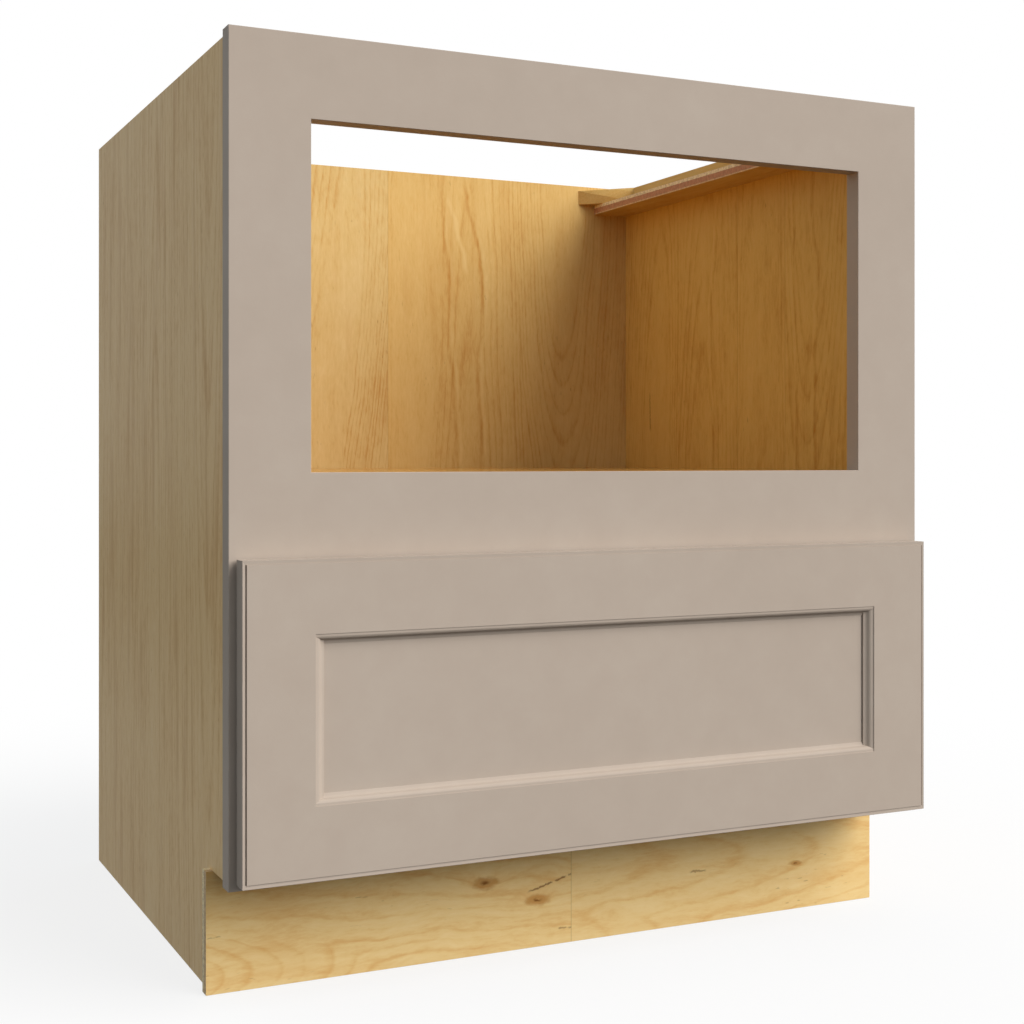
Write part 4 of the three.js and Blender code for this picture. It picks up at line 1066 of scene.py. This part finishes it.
# The shelf's and deck's darker colour is painted shade.
SHELF_LEAVES = [(-1.0, DEEP_PAINTED_SHADE, [(-0.05, -1.0, 0.02, 0.05, 0.0, 0.009, 1.0)])]
PLAIN_LEAVES = [(-1.0, GOLDEN, [(0.3, -1.0, 0.03, 0.05, 0.0, 0.009, 1.0)])]
BOX_BOTTOM_LEAVES = [(-1.0, MAPLE, [
    (-0.12, 1.0, 0.02, 0.05, 0.0, 0.009, 1.0), (0.16, -1.0, 0.02, 0.05, 0.0, 0.009, 1.0),
])]
TOE_LEFT = [(-1.0, TOE, [
    (0.018, -0.39, 0.046, 0.2, 0.0, 0.0052, 1.0), (0.118, 0.1, 0.058, -0.07, 0.0, 0.0085, 1.0),
])]
TOE_RIGHT = [(-1.0, TOE, [
    (0.06, 0.56, 0.105, 0.085, 0.03, 0.0085, 1.0), (-0.004, 0.16, 0.102, 0.16, 0.0, 0.0095, 1.0),
])]
TOE_LEFT_KNOTS = [(0.0713, -0.0974, 0.0065, 0.0135), (0.0474, -0.0392, 0.006, 0.0125)]
TOE_RIGHT_KNOTS = [(0.0499, 0.2789, 0.003, 0.008)]
TOE_LEFT_CRACKS = [
    ((0.0559, -0.0517), (0.0714, 0.007), 0.0015, 0.75),
    ((0.0159, -0.016), (0.015, 0.003), 0.0013, 0.5),
    ((0.0523, -0.381), (0.053, -0.366), 0.0008, 0.35),
]
TOE_RIGHT_CRACKS = [((0.0555, 0.1406), (0.055, 0.1645), 0.0016, 0.5)]
TOE_ROUGHNESS = 0.5
TOE_SEAM_RIM = (0.0008, 0.0002)
# The pale outer ply is painted light on the shaded edges.
TOE_PLIES = [(0.0, PLY_LIGHT), (0.55, PLY_PALE_PAINTED_LIGHT)]
BRACE_PLIES = [(0.0, PLY_LIGHT), (0.12, PLY_BROWN), (0.66, PLY_CREAM)]


def dress_case():
    for label, sign in SIDES:
        plywood(
            f"{label}_side_veneer", f"{label}_side_panel", "Z", SIDE_LEAVES, even_plies(7),
            side=(EXTERIOR_LEAVES, sign), calm=SIDE_CALM, strands=SIDE_STRANDS, cracks=SIDE_CRACKS,
        )
        plywood(f"{label}_brace_plywood", f"{label}_top_brace", "Y", PLAIN_LEAVES, BRACE_PLIES)
        solid_wood(f"{label}_cleat_wood", f"{label}_top_cleat", "Y", GOLDEN, (sign * 0.33, 0.8), 0.004)
        block = f"{label}_slide_mounting_block"
        plywood(f"{label}_block_plywood", block, "Y", PLAIN_LEAVES, even_plies(9))
        for place in ("front", "rear"):
            block = f"{place}_{label}_corner_block"
            solid_wood(f"{place}_{label}_block_wood", block, "X", GOLDEN, (0.22, 0.82), 0.004)
    plywood(
        "back_plywood", "back_panel", "Z", BACK_LEAVES, even_plies(3), calm=BACK_CALM, strands=BACK_STRANDS,
    )
    for level in ("upper", "middle", "lower"):
        plywood(f"{level}_rail_plywood", f"{level}_hanging_rail", "X", PLAIN_LEAVES)
    plywood("shelf_plywood", "microwave_shelf", "X", SHELF_LEAVES, even_plies(9), roughness=0.12, gloss=0.5)
    plywood("deck_plywood", "bottom_deck", "X", SHELF_LEAVES)
    dress(["toe_board"], toe_veneer())


def toe_veneer():
    """Two leaves with their grain level, knots and cracks near the seam in the middle."""
    across, run, through, low, high = grain_axes("toe_board", "X")
    g = Shade("toe_board_veneer", TOE_ROUGHNESS, specular=WOOD_SPECULAR)
    height, length, deep = g.axes[across], g.axes[run], g.axes[through]
    left, left_tone = wood_surface(g, height, length, deep, TOE_LEFT, TOE_LEFT_KNOTS, TOE_LEFT_CRACKS)
    right, right_tone = wood_surface(g, height, length, deep, TOE_RIGHT, TOE_RIGHT_KNOTS, TOE_RIGHT_CRACKS)
    past_seam = g.above(length, 0.0)
    colour = g.mix(past_seam, left, right)
    seam = g.span(g.calc("ABSOLUTE", length), *TOE_SEAM_RIM)
    colour = g.mix(g.times(seam, SEAM_STRENGTH), colour, TOE["fleck"])
    edge = ply_edge(g, through, low[through], high[through], TOE_PLIES)
    on_face = g.above(g.facing[through], FACING)
    tone = g.blend(past_seam, left_tone, right_tone)
    return g.finish(g.mix(on_face, edge, colour), TOE_ROUGHNESS, tone, VENEER_BUMP)


def dress_drawer():
    for label, sign in SIDES:
        board = f"drawer_box_{label}_side"
        solid_wood(f"{label}_box_side_maple", board, "Y", MAPLE, (0.24, sign * 0.36), 0.005)
    solid_wood("box_front_maple", "drawer_box_front", "X", MAPLE, (0.3, -0.22), 0.005)
    solid_wood("box_back_maple", "drawer_box_back", "X", MAPLE, (0.22, 0.17), 0.0045)
    plywood("box_bottom_plywood", "drawer_box_bottom", "Y", BOX_BOTTOM_LEAVES)
    plastic = moulded("grey_plastic_finish", srgb(112, 118, 122), srgb(130, 135, 139), 0.45, 900.0, 0.03)
    rubber = moulded("soft_rubber_finish", srgb(196, 196, 190), srgb(212, 212, 206), 0.5, 700.0, 0.02)
    for side, _sign in SIDES:
        dress([f"{side}_locking_device", f"{side}_release_lever"], plastic, 0.3)
        dress([f"bumper_pad_upper_{side}", f"bumper_pad_lower_{side}"], rubber, 0.5)


def dress_slides(steel):
    nylon = moulded("white_nylon_finish", srgb(222, 222, 214), srgb(236, 236, 230), 0.4, 800.0, 0.02)
    for side, _sign in SIDES:
        dress([f"{side}_slide_{part}_member" for part in ("cabinet", "intermediate", "drawer")], steel, 0.2)
        dress([f"{side}_slide_lower_cage", f"{side}_slide_upper_cage"], nylon, 0.1)


# ---- Stage

def camera():
    data = bpy.data.cameras.new("photo_camera")
    data.sensor_width = 36.0
    data.lens = 54.8
    data.shift_x = 0.0234
    data.shift_y = -0.0524
    data.clip_end = 60.0
    viewer = add_object("photo_camera", data)
    viewer.location = (-0.75355, -1.6286875, 0.49534)
    viewer.rotation_euler = (math.pi / 2, 0, -0.43715)
    bpy.context.scene.camera = viewer


AMBIENT = (0.5, 0.54, 0.57, 1.0)
KEY_DIRECTION = Vector((0.6, -0.67, 0.56))
KEY_COLOUR = (1.0, 0.965, 0.93)
KEY_STRENGTH = 3.75
KEY_SPREAD = math.radians(54)


FLOOR_RADII = (0.0, 0.5, 1.0, 2.0, 4.0, 12.0)
FLOOR_SEGMENTS = 64
FLOOR_DROP = 0.5 * MM
FLOOR_SEEN = (0.8, 0.8, 0.8, 1)
FLOOR_UNSEEN = (0.04, 0.04, 0.04, 1)  # what it gives back to the cabinet
FLOOR_FADE = (0.45, 1.6)  # distances between which it runs out into white
FLOOR_WHITE = (0.8, 1.0)  # share of white before and after


def coloured(nodes, kind, colour):
    node = nodes.new(kind)
    node.inputs["Color"].default_value = colour
    return node.outputs[0]


def mix_shaders(nodes, links, share, first, second):
    node = nodes.new("ShaderNodeMixShader")
    for output, socket in zip((share, first, second), node.inputs):
        links.new(output, socket)
    return node.outputs[0]


def seen_directly(nodes, links):
    """1 for rays that show the background itself: from the camera, off gloss and through glass."""
    path = nodes.new("ShaderNodeLightPath")
    seen = path.outputs["Is Camera Ray"]
    for ray in ("Is Glossy Ray", "Is Transmission Ray"):
        either = nodes.new("ShaderNodeMath")
        either.operation = "MAXIMUM"
        links.new(seen, either.inputs[0])
        links.new(path.outputs[ray], either.inputs[1])
        seen = either.outputs[0]
    return seen


def world():
    surroundings = bpy.data.worlds.new("studio")
    nodes, links = empty_tree(surroundings)
    ambient = coloured(nodes, "ShaderNodeBackground", AMBIENT)
    white = coloured(nodes, "ShaderNodeBackground", WHITE)
    output = nodes.new("ShaderNodeOutputWorld")
    mixed = mix_shaders(nodes, links, seen_directly(nodes, links), ambient, white)
    links.new(mixed, output.inputs["Surface"])
    bpy.context.scene.world = surroundings


def key_light():
    data = bpy.data.lights.new("key", "SUN")
    data.energy = KEY_STRENGTH
    data.angle = KEY_SPREAD
    data.color = KEY_COLOUR
    lamp = add_object("key", data)
    lamp.rotation_mode = "QUATERNION"
    lamp.rotation_quaternion = KEY_DIRECTION.to_track_quat("Z", "Y")


def floor():
    """Pale floor that keeps the cabinet's shadow and runs out into white."""
    profile = [(radius, -FLOOR_DROP) for radius in FLOOR_RADII]
    plane = add_object("studio_floor", turned_mesh("studio_floor", profile, FLOOR_SEGMENTS))
    plane.data.materials.append(floor_material())


def floor_material():
    material = bpy.data.materials.new("studio_floor")
    nodes, links = empty_tree(material)
    lit = coloured(nodes, "ShaderNodeBsdfDiffuse", FLOOR_SEEN)
    dim = coloured(nodes, "ShaderNodeBsdfDiffuse", FLOOR_UNSEEN)
    white = coloured(nodes, "ShaderNodeEmission", WHITE)
    place = nodes.new("ShaderNodeTexCoord")
    distance = nodes.new("ShaderNodeVectorMath")
    distance.operation = "LENGTH"
    links.new(place.outputs["Object"], distance.inputs[0])
    away = nodes.new("ShaderNodeMapRange")
    away.interpolation_type = "SMOOTHSTEP"
    for name, value in zip(("From Min", "From Max", "To Min", "To Max"), FLOOR_FADE + FLOOR_WHITE):
        away.inputs[name].default_value = value
    links.new(distance.outputs["Value"], away.inputs["Value"])
    shown = mix_shaders(nodes, links, away.outputs["Result"], lit, white)
    mixed = mix_shaders(nodes, links, seen_directly(nodes, links), dim, shown)
    output = nodes.new("ShaderNodeOutputMaterial")
    links.new(mixed, output.inputs["Surface"])
    return material


# ---- Scene

bpy.context.scene.view_settings.view_transform = "Standard"
camera()
world()
key_light()
floor()

painted = satin_paint()
zinc = zinc_steel()
face_frame(painted)
drawer_front(painted)
pocket_screws(zinc)
slide_screws(zinc)
drawer_front_screws(zinc)
dress_case()
dress_drawer()
dress_slides(zinc)
